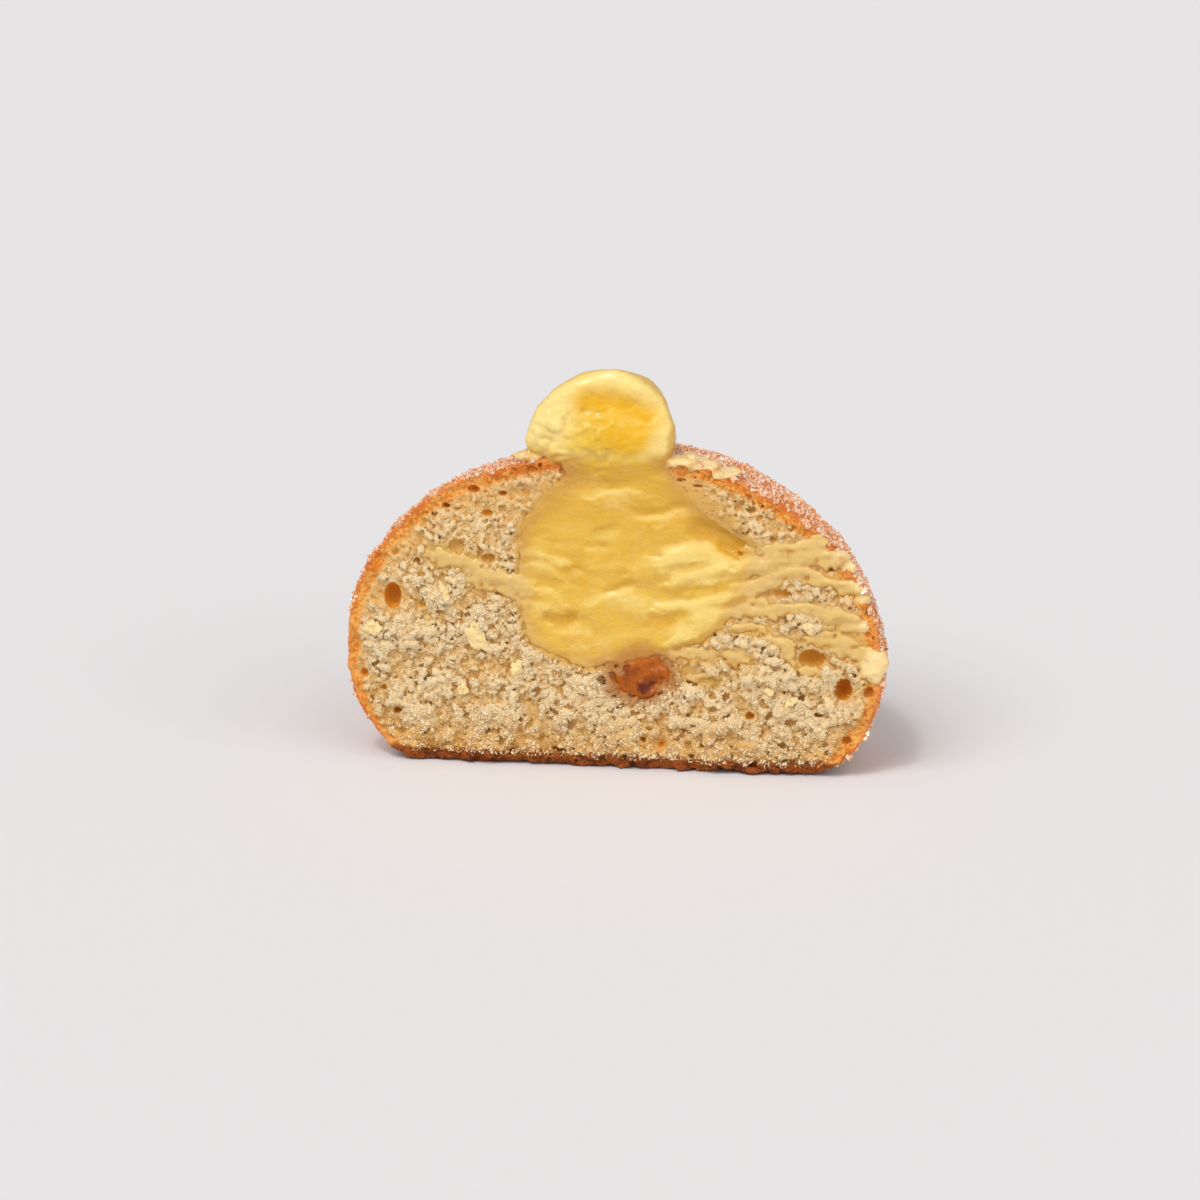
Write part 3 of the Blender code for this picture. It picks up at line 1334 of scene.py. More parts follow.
@dataclass
class Custard:
    """The filling: its pocket, the neck through the crust, the head, and the drag marks."""

    film: Film
    caramel: "Caramel"
    room_low: tuple[float, float, float] = (-38.5, -5.2, 12.5)
    room_high: tuple[float, float, float] = (50.0, 18.0, 73.5)
    step: float = 0.3
    fine_to: float = 2.4
    growth: float = 1.16
    most_triangles: int = 190000
    pocket: tuple[tuple[float, float, float, float], ...] = (
        # height, left edge, right edge, how far back
        (19.5, -8.6, 3.4, 9.0),
        (22.0, -13.6, 8.5, 12.0),
        (24.0, -15.2, 15.5, 15.0),
        (28.0, -15.8, 20.5, 17.0),
        (33.0, -15.9, 23.0, 17.0),
        (39.0, -15.8, 24.5, 17.0),
        (42.0, -15.8, 24.0, 16.0),
        (45.0, -15.0, 20.0, 14.0),
        (48.0, -13.0, 15.5, 11.0),
        (51.0, -9.8, 12.0, 8.5),
        (54.0, -7.0, 9.6, 7.8),
        (58.0, -7.0, 8.0, 7.8),
    )
    pocket_corner: float = 3.0
    pocket_rounding: float = 12.0
    neck_reach: float = 1.5
    head_middle: tuple[float, float, float] = (-1.6, 0.8, 58.7)
    head_low: tuple[float, float, float] = (14.0, 5.4, 4.6)
    head_high: tuple[float, float, float] = (12.0, 12.2, 13.2)
    head_front: float = 1.8
    head_power: float = 2.1
    head_lean: float = 0.1
    cut_rounding: float = 0.5
    head_rounding: float = 2.6
    neck_fillet: float = 3.4
    lobe_fillet: float = 0.8
    skirt: float = 0.8
    dab_overlap: float = 0.2
    drag_angle: float = math.radians(6.0)
    proud: float = 0.2
    bend: Bend = (37, 2.8, (0.45, 0.3))
    head_bend: Bend = (37, 2.0, (0.5, 0.5))
    edge_hills: Hills = ((0.4, 31, 4.0), (0.25, 32, 1.4))
    drag_hills: Hills = ((0.16, 34, (12.0, 4.0)), (0.045, 35, (5.0, 1.8)), (0.02, 36, (1.6, 0.9)))
    head_hills: Hills = ((0.35, 44, 6.0), (0.08, 45, 1.5))
    head_face_hills: Hills = ((0.24, 42, 1.0), (0.08, 46, 0.6))
    lobe_hills: Hills = ((0.3, 51, 1.5), (0.2, 52, 0.8))
    lobes: tuple[tuple, ...] = (
        # middle, half sizes: what lies over the crust and at the edge of the cut
        ((-9.6, 2.6, 56.6), (4.4, 2.4, 0.8)),
        ((-15.0, 2.8, 55.9), (3.6, 2.2, 0.7)),
        ((12.0, 2.6, 56.1), (3.0, 3.2, 0.75)),
        ((15.4, 2.6, 55.3), (2.8, 3.0, 0.65)),
        ((19.0, 2.4, 54.1), (2.8, 2.6, 0.6)),
        ((39.6, 0.6, 40.4), (1.7, 0.8, 0.8)),
        ((41.4, 0.6, 38.4), (1.2, 0.7, 1.1)),
        ((42.8, 0.6, 35.6), (1.4, 0.8, 1.2)),
        ((43.9, 0.6, 32.2), (1.1, 0.7, 1.4)),
        ((44.2, 0.6, 27.4), (0.9, 0.7, 1.4)),
        ((46.4, 0.1, 20.8), (2.1, 1.4, 3.0)),
    )
    marks: tuple[Stroke, ...] = (
        # hollow under the upper right edge, and the lump below it
        Stroke(((16.4, 43.6), (19.0, 42.8), (23.0, 41.2)), 2.6, -1.1),
        Stroke(((19.6, 40.8), (22.0, 39.9)), 1.3, -0.5),
        drag(2.2, 0.8, (10.0, 39.6), (12.6, 40.2), (14.7, 40.6), (16.3, 41.2), (18.0, 40.4), (19.6, 38.8)),
        # tubes drawn out towards the right
        drag(2.0, 0.2, (4.0, 36.1), (9.8, 37.9), (12.5, 38.7)),
        drag(2.2, 0.6, (11.5, 35.0), (16.9, 36.6), (20.7, 37.8), (24.0, 38.8)),
        drag(1.6, 0.55, (8.4, 29.7), (13.9, 30.9), (17.7, 31.9), (22.4, 33.0)),
        Stroke(((13.4, 32.4), (17.7, 33.4), (22.0, 34.4)), 1.1, -0.25),
        Stroke(((7.2, 28.0), (10.2, 27.3), (13.0, 27.9)), 1.5, -0.45),
        drag(3.0, 0.6, (12.4, 26.2), (14.2, 27.7), (15.6, 28.6), (18.0, 29.1), (21.4, 29.3)),
        # arc over the middle lump
        drag(2.6, 0.4, (-4.6, 29.0), (-3.2, 30.4), (-1.0, 31.5), (1.7, 31.8), (4.4, 31.1), (6.2, 30.2)),
        Stroke(((-1.4, 32.2), (0.6, 32.8), (3.2, 33.8)), 0.8, -0.4),
        # fold at the lower left
        drag(
            2.3, 0.16, (-12.8, 27.0), (-11.4, 25.2), (-9.6, 24.1), (-6.0, 23.5),
            (-1.0, 23.5), (5.0, 24.0), (12.0, 25.1),
        ),
        Stroke(((-9.6, 26.3), (-5.4, 26.5)), 2.0, -0.45),
        Stroke(((-10.9, 27.6), (-10.9, 26.4)), 0.8, -0.3),
        Stroke(((-7.7, 27.4), (-6.9, 27.0)), 0.9, -0.4),
        drag(1.3, 0.2, (-14.5, 29.4), (-11.6, 29.0), (-9.9, 28.6)),
        # small lips and hollows at the left edge
        drag(1.4, 0.32, (-15.4, 39.0), (-13.0, 38.7), (-10.3, 38.0), (-7.6, 37.0)),
        drag(1.4, 0.36, (-14.8, 36.6), (-12.4, 36.3), (-10.8, 35.4), (-8.4, 33.9)),
        drag(1.4, 0.32, (-15.7, 32.5), (-13.0, 32.4), (-11.1, 31.3), (-8.6, 30.0)),
        Stroke(((-7.8, 36.0), (-5.2, 36.4)), 1.1, -0.4),
        Stroke(((-11.8, 34.2), (-8.8, 34.0)), 1.1, -0.2),
        Stroke(((-2.8, 43.0), (-0.2, 43.7)), 1.0, -0.35),
        Stroke(((-4.4, 40.6), (-1.4, 40.5)), 0.9, -0.25),
        Stroke(((4.6, 46.8), (8.7, 47.3), (12.4, 48.1)), 0.9, -0.35),
        drag(1.6, 0.35, (-2.0, 49.8), (4.4, 50.2)),
        Stroke(((1.8, 57.0), (4.4, 57.4)), 0.9, -0.3),
    )
    head_marks: tuple[Stroke, ...] = (
        Stroke(((-3.4, 66.2), (2.0, 65.6), (6.6, 64.2)), 3.2, -1.2),
        drag(0.9, 0.4, (5.2, 63.4), (8.4, 63.0)),
        drag(1.3, 0.45, (-6.0, 57.0), (-3.4, 60.0), (0.2, 62.8)),
        Stroke(((-9.4, 60.6), (-7.0, 62.6)), 0.8, -0.3),
        Stroke(((-9.0, 64.0), (-7.0, 65.0)), 0.7, -0.25),
        Stroke(((-12.4, 57.0), (-11.8, 58.8)), 0.9, -0.5),
    )
    scoop_path: Stroke = Stroke(
        ((-4.6, 66.6), (-1.0, 66.4), (2.6, 65.8), (6.2, 63.8), (4.4, 60.6), (1.0, 60.4)), 3.1
    )

    def pocket_depth(self, where: tuple[Array, ...]) -> Array:
        """How deep points lie in the filling's pocket or neck.

        Args:
            where: X, Y and Z of the points.

        Returns:
            The depth in millimetres, above zero inside.
        """
        x, y, z = where
        heights, *edges = np.array(self.pocket).T
        left, right, back = (np.interp(z, heights, edge) for edge in edges)
        across = soft_min(x - left, right - x, self.pocket_corner)
        flat = soft_min(across, z - heights[0], self.pocket_corner)
        flat = np.minimum(flat, heights[-1] + self.neck_reach - z)
        bulge = 1.0 - np.clip(flat / self.pocket_rounding, 0.0, 1.0)
        behind = 0.8 * (back * np.sqrt(1.0 - bulge * bulge) - y)
        edge = pile(self.edge_hills, x, z)
        return soft_min(flat, behind, 1.0) + edge

    def head_depth(self, where: tuple[Array, ...]) -> Array:
        """How deep points lie in the head.

        Args:
            where: X, Y and Z of the points.

        Returns:
            The depth in millimetres, above zero inside.
        """
        uneven = pile(self.head_hills, *where)
        x, y, z = where
        where = (x - self.head_lean * (z - self.head_middle[2]), y, z)
        return egg(where, self.head_middle, self.head_low, self.head_high, self.head_power) + uneven

    def inside_depth(self, where: tuple[Array, ...]) -> Array:
        """How deep points lie in the parts that the dough makes room for."""
        return np.maximum(self.pocket_depth(where), self.head_depth(where))

    def face(self, x: Array, z: Array) -> Array:
        """The cut face of the filling.

        Args:
            x: Place along the cut face.
            z: Height above the floor.

        Returns:
            How far it lies behind the cut plane, in millimetres.
        """
        bend = z + 1.1 * noise(33, 11.0, x, z)
        left, low = wander(self.bend, x, z)
        along, across = turn(x, bend, self.drag_angle)
        out = self.proud + pile(self.drag_hills, along, across) + self.raised(left, low)
        depth = self.pocket_depth(on_cut(x, z)) / (1.0 + 1.2 * ease(41.0, 47.0, z))
        full = ease(-1.4, 2.0, depth)
        return -out * full + (self.film.ground(x, z) - 0.12) * (1.0 - full)

    def raised(self, x: Array, z: Array) -> Array:
        """How far the marks on the filling stand out.

        Args:
            x: Place along the cut face.
            z: Height above the floor.

        Returns:
            The distance in millimetres.
        """
        total = np.zeros(np.broadcast(x, z).shape)
        for mark in self.marks:
            total = total + mark.relief(x, z)
        return total

    def head_face(self, x: Array, z: Array) -> Array:
        """The front of the head.

        Args:
            x: Place along the cut face.
            z: Height above the floor.

        Returns:
            How far it lies behind the cut plane, in millimetres.
        """
        rough = 0.12 + 0.88 * ease(4.0, -5.0, x + 0.6 * (z - 62.0)) * ease(68.5, 63.0, z)
        left, low = wander(self.head_bend, x, z)
        lumps = 0.2 * noise(41, (2.0, 1.1), left + 0.7 * low, low - 0.5 * left)
        lumps = lumps + pile(self.head_face_hills, left, low)
        middle = (x - self.head_middle[0]) ** 2 + (z - self.head_middle[2]) ** 2
        belly = self.head_front * ease(50.0, 62.0, z) - 0.009 * middle
        out = self.proud + belly + rough * lumps + 0.14 * noise(43, 3.5, x, z)
        for mark in self.head_marks:
            out = out + mark.relief(left, low)
        return -out

    def solid(self, grid: Grid) -> Array:
        """The custard's field, with room for the dab.

        Args:
            grid: The sample points.

        Returns:
            A field above zero inside the custard.
        """
        where = grid.spread()
        x, y, z = where
        pocket = self.pocket_depth(where)
        front = y - self.face(x, z)
        filling = soft_min(pocket, front, self.cut_rounding)
        reach = self.pocket_depth(on_cut(x, z)) + self.skirt
        skirt = np.minimum(soft_min(reach, front, 0.4), self.film.back - y)
        filling = np.maximum(filling, skirt)
        head = soft_min(self.head_depth(where), y - self.head_face(x, z), self.head_rounding)
        solid = soft_max(filling, head, self.neck_fillet)
        solid = soft_max(solid, self.film.sheet(where), 0.5)
        for middle, reach in self.lobes:
            lump = egg(where, middle, reach, reach, 2.0) + pile(self.lobe_hills, *where)
            solid = soft_max(solid, lump, self.lobe_fillet)
        return np.minimum(solid, self.dab_overlap - self.caramel.depth(where)).astype(np.float32)

    def build(self, finish: Material) -> Piece:
        """Makes the custard.

        Args:
            finish: The material.

        Returns:
            The piece.
        """
        grid = Grid.graded(self.room_low, self.room_high, self.step, self.fine_to, self.growth)
        solid = self.solid(grid)
        points, faces = grid.wrap(solid)
        log.info("custard skin has %d faces", len(faces))
        thing = new_piece("custard_filling", points, faces, finish)
        thin_out(thing, self.most_triangles, ease(3.0, 1.0, points[:, 1]))
        self.describe(thing, grid, solid)
        return thing

    def describe(self, thing: Piece, grid: Grid, solid: Array) -> None:
        """Notes on each point what the finish needs to know.

        Args:
            thing: The custard.
            grid: The sample points of its field.
            solid: Its field.
        """
        points = points_of(thing)
        x, y, z = points.T
        head = ease(-1.0, 0.6, self.head_depth((x, y, z))) * ease(54.5, 59.0, z)
        lobes = np.full(len(points), NOWHERE)
        for middle, reach in self.lobes:
            lobes = np.maximum(lobes, egg((x, y, z), middle, reach, reach, 2.0))
        pocket = self.pocket_depth(on_cut(x, z))
        edge = ease(-1.0, 3.0, pocket / (1.0 + 1.4 * ease(41.0, 47.0, z) * (z < 53.0)))
        wider = 1.8 * ease(2.0, 9.0, x) + 3.0 * ease(-1.0, -9.0, x)
        lip = 0.6 * ease(-2.4, 0.0, pocket) * ease(42.0, 36.0, z)
        # Several of these notes feed painted light and shade: hollow, lit, raised, the head's rim and its
        # scooped hollow.
        note(
            thing,
            hollow=grid.crowding(solid, 3, points),
            thick=np.maximum(edge, head),
            head=head,
            # Painted shade along the hollow of the head.
            scoop=self.scoop_path.mask(x, z) * head,
            # Painted light: the head is paler within a few millimetres of its outline.
            rim=ease(6.5, 1.0, self.head_depth(on_cut(x, z)) - wider) * head,
            ridge=np.maximum(ease(-0.1, 0.28, self.film.height(x, z)), lip),
            lobe=ease(-0.8, -0.1, lobes) * (1.0 - head),
            raised=self.raised(x, z) * edge * (1.0 - head),
            stain=ease(-2.6, -0.4, self.caramel.depth(on_cut(x, z))),
            lit=lit_share(thing),
        )


# ---------------------------------------------------------------- caramel


@dataclass
class Caramel:
    """The dab of caramel at the lower edge of the custard."""

    middle: tuple[float, float, float] = (4.9, 0.4, 17.0)
    low: tuple[float, float, float] = (5.0, 1.3, 4.1)
    high: tuple[float, float, float] = (4.9, 4.4, 4.6)
    power: float = 2.1
    cut_back: float = -0.5
    edge_hills: Hills = ((0.45, 81, 3.0), (0.14, 82, 1.2))
    cut_hills: Hills = ((0.4, 83, (1.8, 1.2)), (0.14, 84, 0.7))
    cut_rounding: float = 0.5
    room_low: tuple[float, float, float] = (-2.5, -3.2, 10.5)
    room_high: tuple[float, float, float] = (12.5, 6.5, 24.0)
    step: float = 0.2
    fine_to: float = 1.5
    growth: float = 1.15

    def depth(self, where: tuple[Array, ...]) -> Array:
        """How deep points lie in the dab.

        Args:
            where: X, Y and Z of the points.

        Returns:
            The depth in millimetres, above zero inside.
        """
        x, _, z = where
        lump = egg(where, self.middle, self.low, self.high, self.power)
        return lump + pile(self.edge_hills, x, z)

    def build(self, finish: Material) -> Piece:
        """Makes the dab.

        Args:
            finish: The material.

        Returns:
            The piece.
        """
        grid = Grid.graded(self.room_low, self.room_high, self.step, self.fine_to, self.growth)
        where = grid.spread()
        x, y, z = where
        front = self.cut_back + pile(self.cut_hills, x, z)
        solid = soft_min(self.depth(where), y - front, self.cut_rounding).astype(np.float32)
        points, faces = largest_shell(*grid.wrap(solid))
        thing = new_piece("caramel_dab", points, faces, finish)
        x, y, z = points.T
        note(thing, edge=ease(2.2, 0.3, self.depth(on_cut(x, z))))
        return thing


# ---------------------------------------------------------------- small things


@dataclass
class Shreds:
    """Pale bits of crumb that the knife tore up."""

    name: str
    seed: int
    count: int
    smallest: float
    largest: float
    low: tuple[float, float, float]
    high: tuple[float, float, float]
    wobble: float
    gather: float
    stand: float
    lift: float

    def build(self, dough: Piece, maker: Dough, finish: Material) -> Piece:
        """Scatters the shreds over the torn part of the cut face.

        Args:
            dough: The piece that they stand on.
            maker: The dough's sizes, and those of the filling and the dab, which have none.
            finish: The material.

        Returns:
            The piece.
        """
        rng = np.random.default_rng(self.seed)
        skin = Skin.of(dough)
        x, y, z = skin.middles().T
        bare = (1.0 - maker.film.coat(x, z)) ** 2
        clear = ease(-0.8, -2.2, maker.custard.pocket_depth(on_cut(x, z)))
        clear = clear * ease(-0.5, -1.6, maker.caramel.depth(on_cut(x, z)))
        inner = ease(1.9, 3.0, maker.outline.depth(*on_cut(x, z))) * ease(1.6, 2.8, z)
        near = ease(0.7, -0.1, y)
        patches = ease(-0.6, 0.7, noise(self.seed + 1, 4.5, x, z) + 0.7 * noise(self.seed + 2, 1.9, x, z))
        wanted = near * bare * clear * inner * maker.torn(x, z) ** self.gather * (1.2 + patches)
        places, normals = skin.scatter(wanted, self.count, rng)
        places[:, 1] -= self.lift
        frames = self.frames(places, normals, rng)
        size = self.smallest + (self.largest - self.smallest) * rng.random(self.count) ** 2.2
        sizes = size[:, None] * rng.uniform(self.low, self.high, (self.count, 3))
        base, faces = shard_shape()
        swell = 1.0 + self.wobble * rng.uniform(-1.0, 1.0, (self.count, len(base)))
        thing = new_piece(self.name, *stamped((base, faces), places, frames, sizes, swell), finish)
        x, y, z = points_of(thing).T
        # Painted shade and light: shreds are darker close to the crumb and paler at their tips.
        tip = ease(0.25, -0.75, y - maker.film.ground(x, z))
        note(thing, tip=tip, lit=lit_share(thing))
        return thing

    def frames(self, places: Array, normals: Array, rng: np.random.Generator) -> Array:
        """Turns each shred: its long third axis lies along the crumb's grain, which swirls.

        Args:
            places: Where each shred goes.
            normals: The crumb's direction there.
            rng: Source of the random draws.

        Returns:
            Three-by-three matrices whose columns are the axes.
        """
        x, _, z = places.T
        angle = 3.0 * noise(self.seed + 3, 7.0, x, z) + 0.5 * rng.normal(size=len(places))
        grain = np.stack([np.cos(angle), -self.stand * rng.random(len(places)), np.sin(angle)], axis=1)
        grain /= np.linalg.norm(grain, axis=1)[:, None]
        outward = normals + np.array([0.0, -1.0, 0.0])
        side = np.cross(outward, grain)
        side /= np.maximum(np.linalg.norm(side, axis=1), 1e-6)[:, None]
        return np.stack([side, np.cross(grain, side), grain], axis=2)


@dataclass
class Flakes:
    """Thin flakes of custard that stuck to the crumb."""

    depth: float = 0.45
    flakes: tuple[tuple[float, float, float, float, float], ...] = (
        # place, half width, half height, lean
        (-23.9, 23.6, 1.8, 3.0, -0.25),
        (-17.3, 17.6, 1.35, 1.8, -0.1),
        (-42.4, 24.4, 1.7, 1.7, 0.5),
        (-29.8, 31.4, 0.9, 1.6, -0.4),
        (34.9, 27.4, 1.1, 0.9, 0.2),
        (-26.6, 13.6, 1.0, 0.8, 0.3),
        (40.8, 12.6, 1.0, 0.8, 0.3),
        (38.0, 14.6, 0.9, 0.5, 0.5),
        (-36.6, 21.2, 0.7, 0.8, 0.3),
        (28.0, 15.5, 0.9, 0.6, 0.1),
        (31.5, 13.4, 1.3, 0.8, -0.6),
    )

    def build(self, finish: Material) -> Piece:
        """Makes the flakes.

        Args:
            finish: The material.

        Returns:
            The piece.
        """
        base, faces = ball_shape(4)
        points, rings = [], []
        for number, (x, z, wide, high, lean) in enumerate(self.flakes):
            across, _, up = base.T
            ragged = pile(((0.16, 111 + number, 0.35), (0.28, 121 + number, 0.9)), across, up)
            local = base * (1.0 + ragged)[:, None] * np.array([wide, self.depth, high])
            turned, raised = turn(local[:, 0], local[:, 2], lean)
            rings.append(faces + len(base) * number)
            front = local[:, 1] - 0.55 + 0.2 * noise(131 + number, 0.5, turned, raised)
            points.append(np.stack([x + turned, front, z + raised], axis=1))
        thing = new_piece("custard_flakes", np.concatenate(points), np.concatenate(rings), finish)
        note(thing, hollow=0.45, thick=0.0, ridge=1.6, lobe=0.9, lit=lit_share(thing))
        return thing


@dataclass
class Sugar:
    """Sugar crystals on the crust, and a few on the base's rim."""

    seed: int = 101
    count: int = 15500
    smallest: float = 0.11
    largest: float = 0.3

    def build(self, dough: Piece, outline: Outline, finish: Material) -> Piece:
        """Scatters the crystals over the crust.

        Args:
            dough: The piece that they lie on.
            outline: The outside of the doughnut.
            finish: The material.

        Returns:
            The piece.
        """
        rng = np.random.default_rng(self.seed)
        skin = Skin.of(dough)
        x, y, z = skin.middles().T
        outer = ease(0.5, 0.15, outline.under_skin(x, y, z)) * (y > 0.05)
        patchy = ease(-0.9, 0.7, noise(102, 5.0, x, y, z) + 0.6 * noise(103, 1.8, x, y, z))
        heavy = 0.35 + 0.65 * ease(16.0, 44.0, z + 0.15 * x)
        bare = ease(2.0, 0.3, y) * (0.35 + 0.5 * ease(-20.0, -16.0, x) * ease(-2.0, -6.0, x))
        wanted = outer * heavy * (0.25 + patchy) * ease(0.3, 1.5, z) * (1.0 - bare)
        places, normals = skin.scatter(wanted, self.count, rng)
        frames = upright_frames(normals, 0.4, rng)
        size = self.smallest + (self.largest - self.smallest) * rng.random(self.count) ** 1.8
        size = size * (1.0 + 0.6 * ease(2.5, 0.3, places[:, 1]) * ease(-30.0, 10.0, places[:, 0]))
        sizes = size[:, None] * rng.uniform(0.7, 1.25, (self.count, 3))
        lifted = places + normals * (sizes[:, 2:] * rng.uniform(0.1, 0.8, (self.count, 1)))
        thing = new_piece("sugar_crystals", *stamped(cube_shape(), lifted, frames, sizes), finish)
        thing.data.shade_flat()
        return thing


# ---------------------------------------------------------------- finishes


@dataclass(frozen=True)
class DoughFinish:
    """Cream crumb with painted warm shade in its bubbles, pits and hollows, fading into an orange fried
    crust.
    """

    cream: Colour = paint(241, 214, 165)
    ground: Colour = paint(231, 194, 134)
    # Painted shade: the colour of crowded hollows, of foam cells and of the crumb near the floor.
    shade: Colour = paint(210, 154, 62)
    # Painted shade deep in the bubbles, more orange near the crust.
    pit: Colour = paint(220, 154, 50)
    pit_by_crust: Colour = paint(228, 142, 8)
    under_crust: Colour = paint(220, 126, 24)
    under_pale: Colour = paint(236, 176, 88)
    crust_light: Colour = paint(232, 156, 80)
    crust_mid: Colour = paint(219, 119, 32)
    crust_dark: Colour = paint(160, 80, 8)
    crust_burnt: Colour = paint(106, 44, 0)
    film: Colour = paint(216, 170, 88)
    stain: Colour = paint(176, 112, 50)
    # Painted shade of pinholes, which are drawn only as dark dots.
    pinhole_shade: Colour = paint(150, 96, 40)
    oily: Colour = paint(208, 110, 16)

    def build(self) -> Material:
        """The finished material."""
        recipe = Recipe("doughnut_dough")
        below, behind = recipe.noted("below_skin"), recipe.noted("behind_cut")
        hollow, coat, torn = recipe.noted("hollow"), recipe.noted("coat"), recipe.noted("torn")
        mottle, fine = recipe.speckle(2.4), recipe.speckle(0.55)
        patch, fleck, drift = mottle - 0.5, fine - 0.5, recipe.speckle(7.0) - 0.5
        foam = recipe.cells(0.95).step(0.42, 0.12)
        pinholes = recipe.cells(0.8).step(0.24, 0.13) * torn.step(1.2, 0.3)
        up = recipe.axis("Z")

        # In crowded hollows the crumb takes the shade colour as painted shade, and it takes the same colour
        # near the floor.
        low_down = (up + 0.004 * patch).step(0.013, 0.003) * 0.85
        shaded = ((hollow + 0.5 * fleck).step(0.395, 0.75) * 0.9).most(low_down)
        pit = recipe.over(self.pit, (below.step(8.5, 4.0), self.pit_by_crust))
        crumb = recipe.over(
            self.cream,
            # Painted shade mixed with random tone: further behind the cut the crumb turns from cream to the
            # darker ground colour.
            ((behind + 0.5 * patch + 0.35 * drift).step(-0.35, 0.35), self.ground),
            # Painted shade in crowded hollows and near the floor.
            (shaded, self.shade),
            # Painted shade: deeper in the bubbles the crumb takes the pit colour.
            ((behind + 0.5 * patch).step(0.4, 1.2), pit),
            # Painted shade in the foam's cells, which the bump also dents.
            (foam * (0.7 * mottle.step(0.35, 0.6)), self.shade),
            # Painted shade of pinholes.
            (pinholes * mottle.step(0.45, 0.56), self.pinhole_shade),
            ((coat * 1.1).step(0.1, 0.9), self.film),
            (recipe.noted("stain") * 0.9, self.stain),
            (below.step(7.0, 2.0) * 0.4, self.under_pale),
        )
        inner = recipe.over(self.under_crust, ((fine + 0.5 * patch).step(0.36, 0.62), self.under_pale))
        band = (up + 0.009 * patch).step(0.0095, 0.019) * (up + 0.01 * patch).step(0.034, 0.024)
        fried = recipe.over(
            self.crust_mid,
            ((mottle + 0.6 * fleck).step(0.36, 0.66), self.crust_light),
            (band * 0.6, self.crust_light),
        )
        sole = recipe.over(self.crust_dark, ((mottle + 0.8 * fleck).step(0.4, 0.62), self.crust_burnt))
        outer = (below + 0.5 * fleck + 0.4 * patch).step(0.95, 0.45)
        colour = recipe.over(
            crumb,
            ((below + 1.4 * patch + 0.6 * fleck).step(2.6, 1.7), inner),
            (outer, fried),
            ((up + 0.0026 * patch + 0.0014 * fleck).step(0.0036, 0.0022), sole),
            (recipe.noted("oily") * 0.85, self.oily),
        )

        rough = 0.75 - 0.4 * coat - 0.42 * outer
        bump = recipe.bump(fine + 0.6 * recipe.speckle(0.22) - 0.9 * foam, 0.18)
        return recipe.surface(
            Base_Color=colour,
            Roughness=rough,
            Normal=bump,
            Specular_IOR_Level=0.35,
            Subsurface_Weight=0.5,
            Subsurface_Radius=(1.0, 0.92, 0.7),
            Subsurface_Scale=0.55 * MM,
        )


@dataclass(frozen=True)
class ShredFinish:
    """Torn crumb, paler than the rest as painted light for light passing through it, with painted light at
    its tips and facing the light, and painted shade towards its base.
    """

    # Painted light at the tips and on sides facing the light; painted shade towards the base.
    light: Colour = paint(246, 225, 184)
    dark: Colour = paint(233, 192, 122)

    def build(self) -> Material:
        """The finished material."""
        recipe = Recipe("torn_crumb")
        # Painted light and shade: tips and faces towards the light take the light colour.
        out = recipe.noted("tip") + 0.5 * (recipe.noted("lit") - 0.6) + 0.5 * (recipe.speckle(1.6) - 0.5)
        return recipe.surface(
            Base_Color=recipe.over(self.dark, (out.step(0.0, 1.0), self.light)),
            Roughness=0.6,
            Normal=recipe.bump(recipe.speckle(0.2), 0.06),
        )


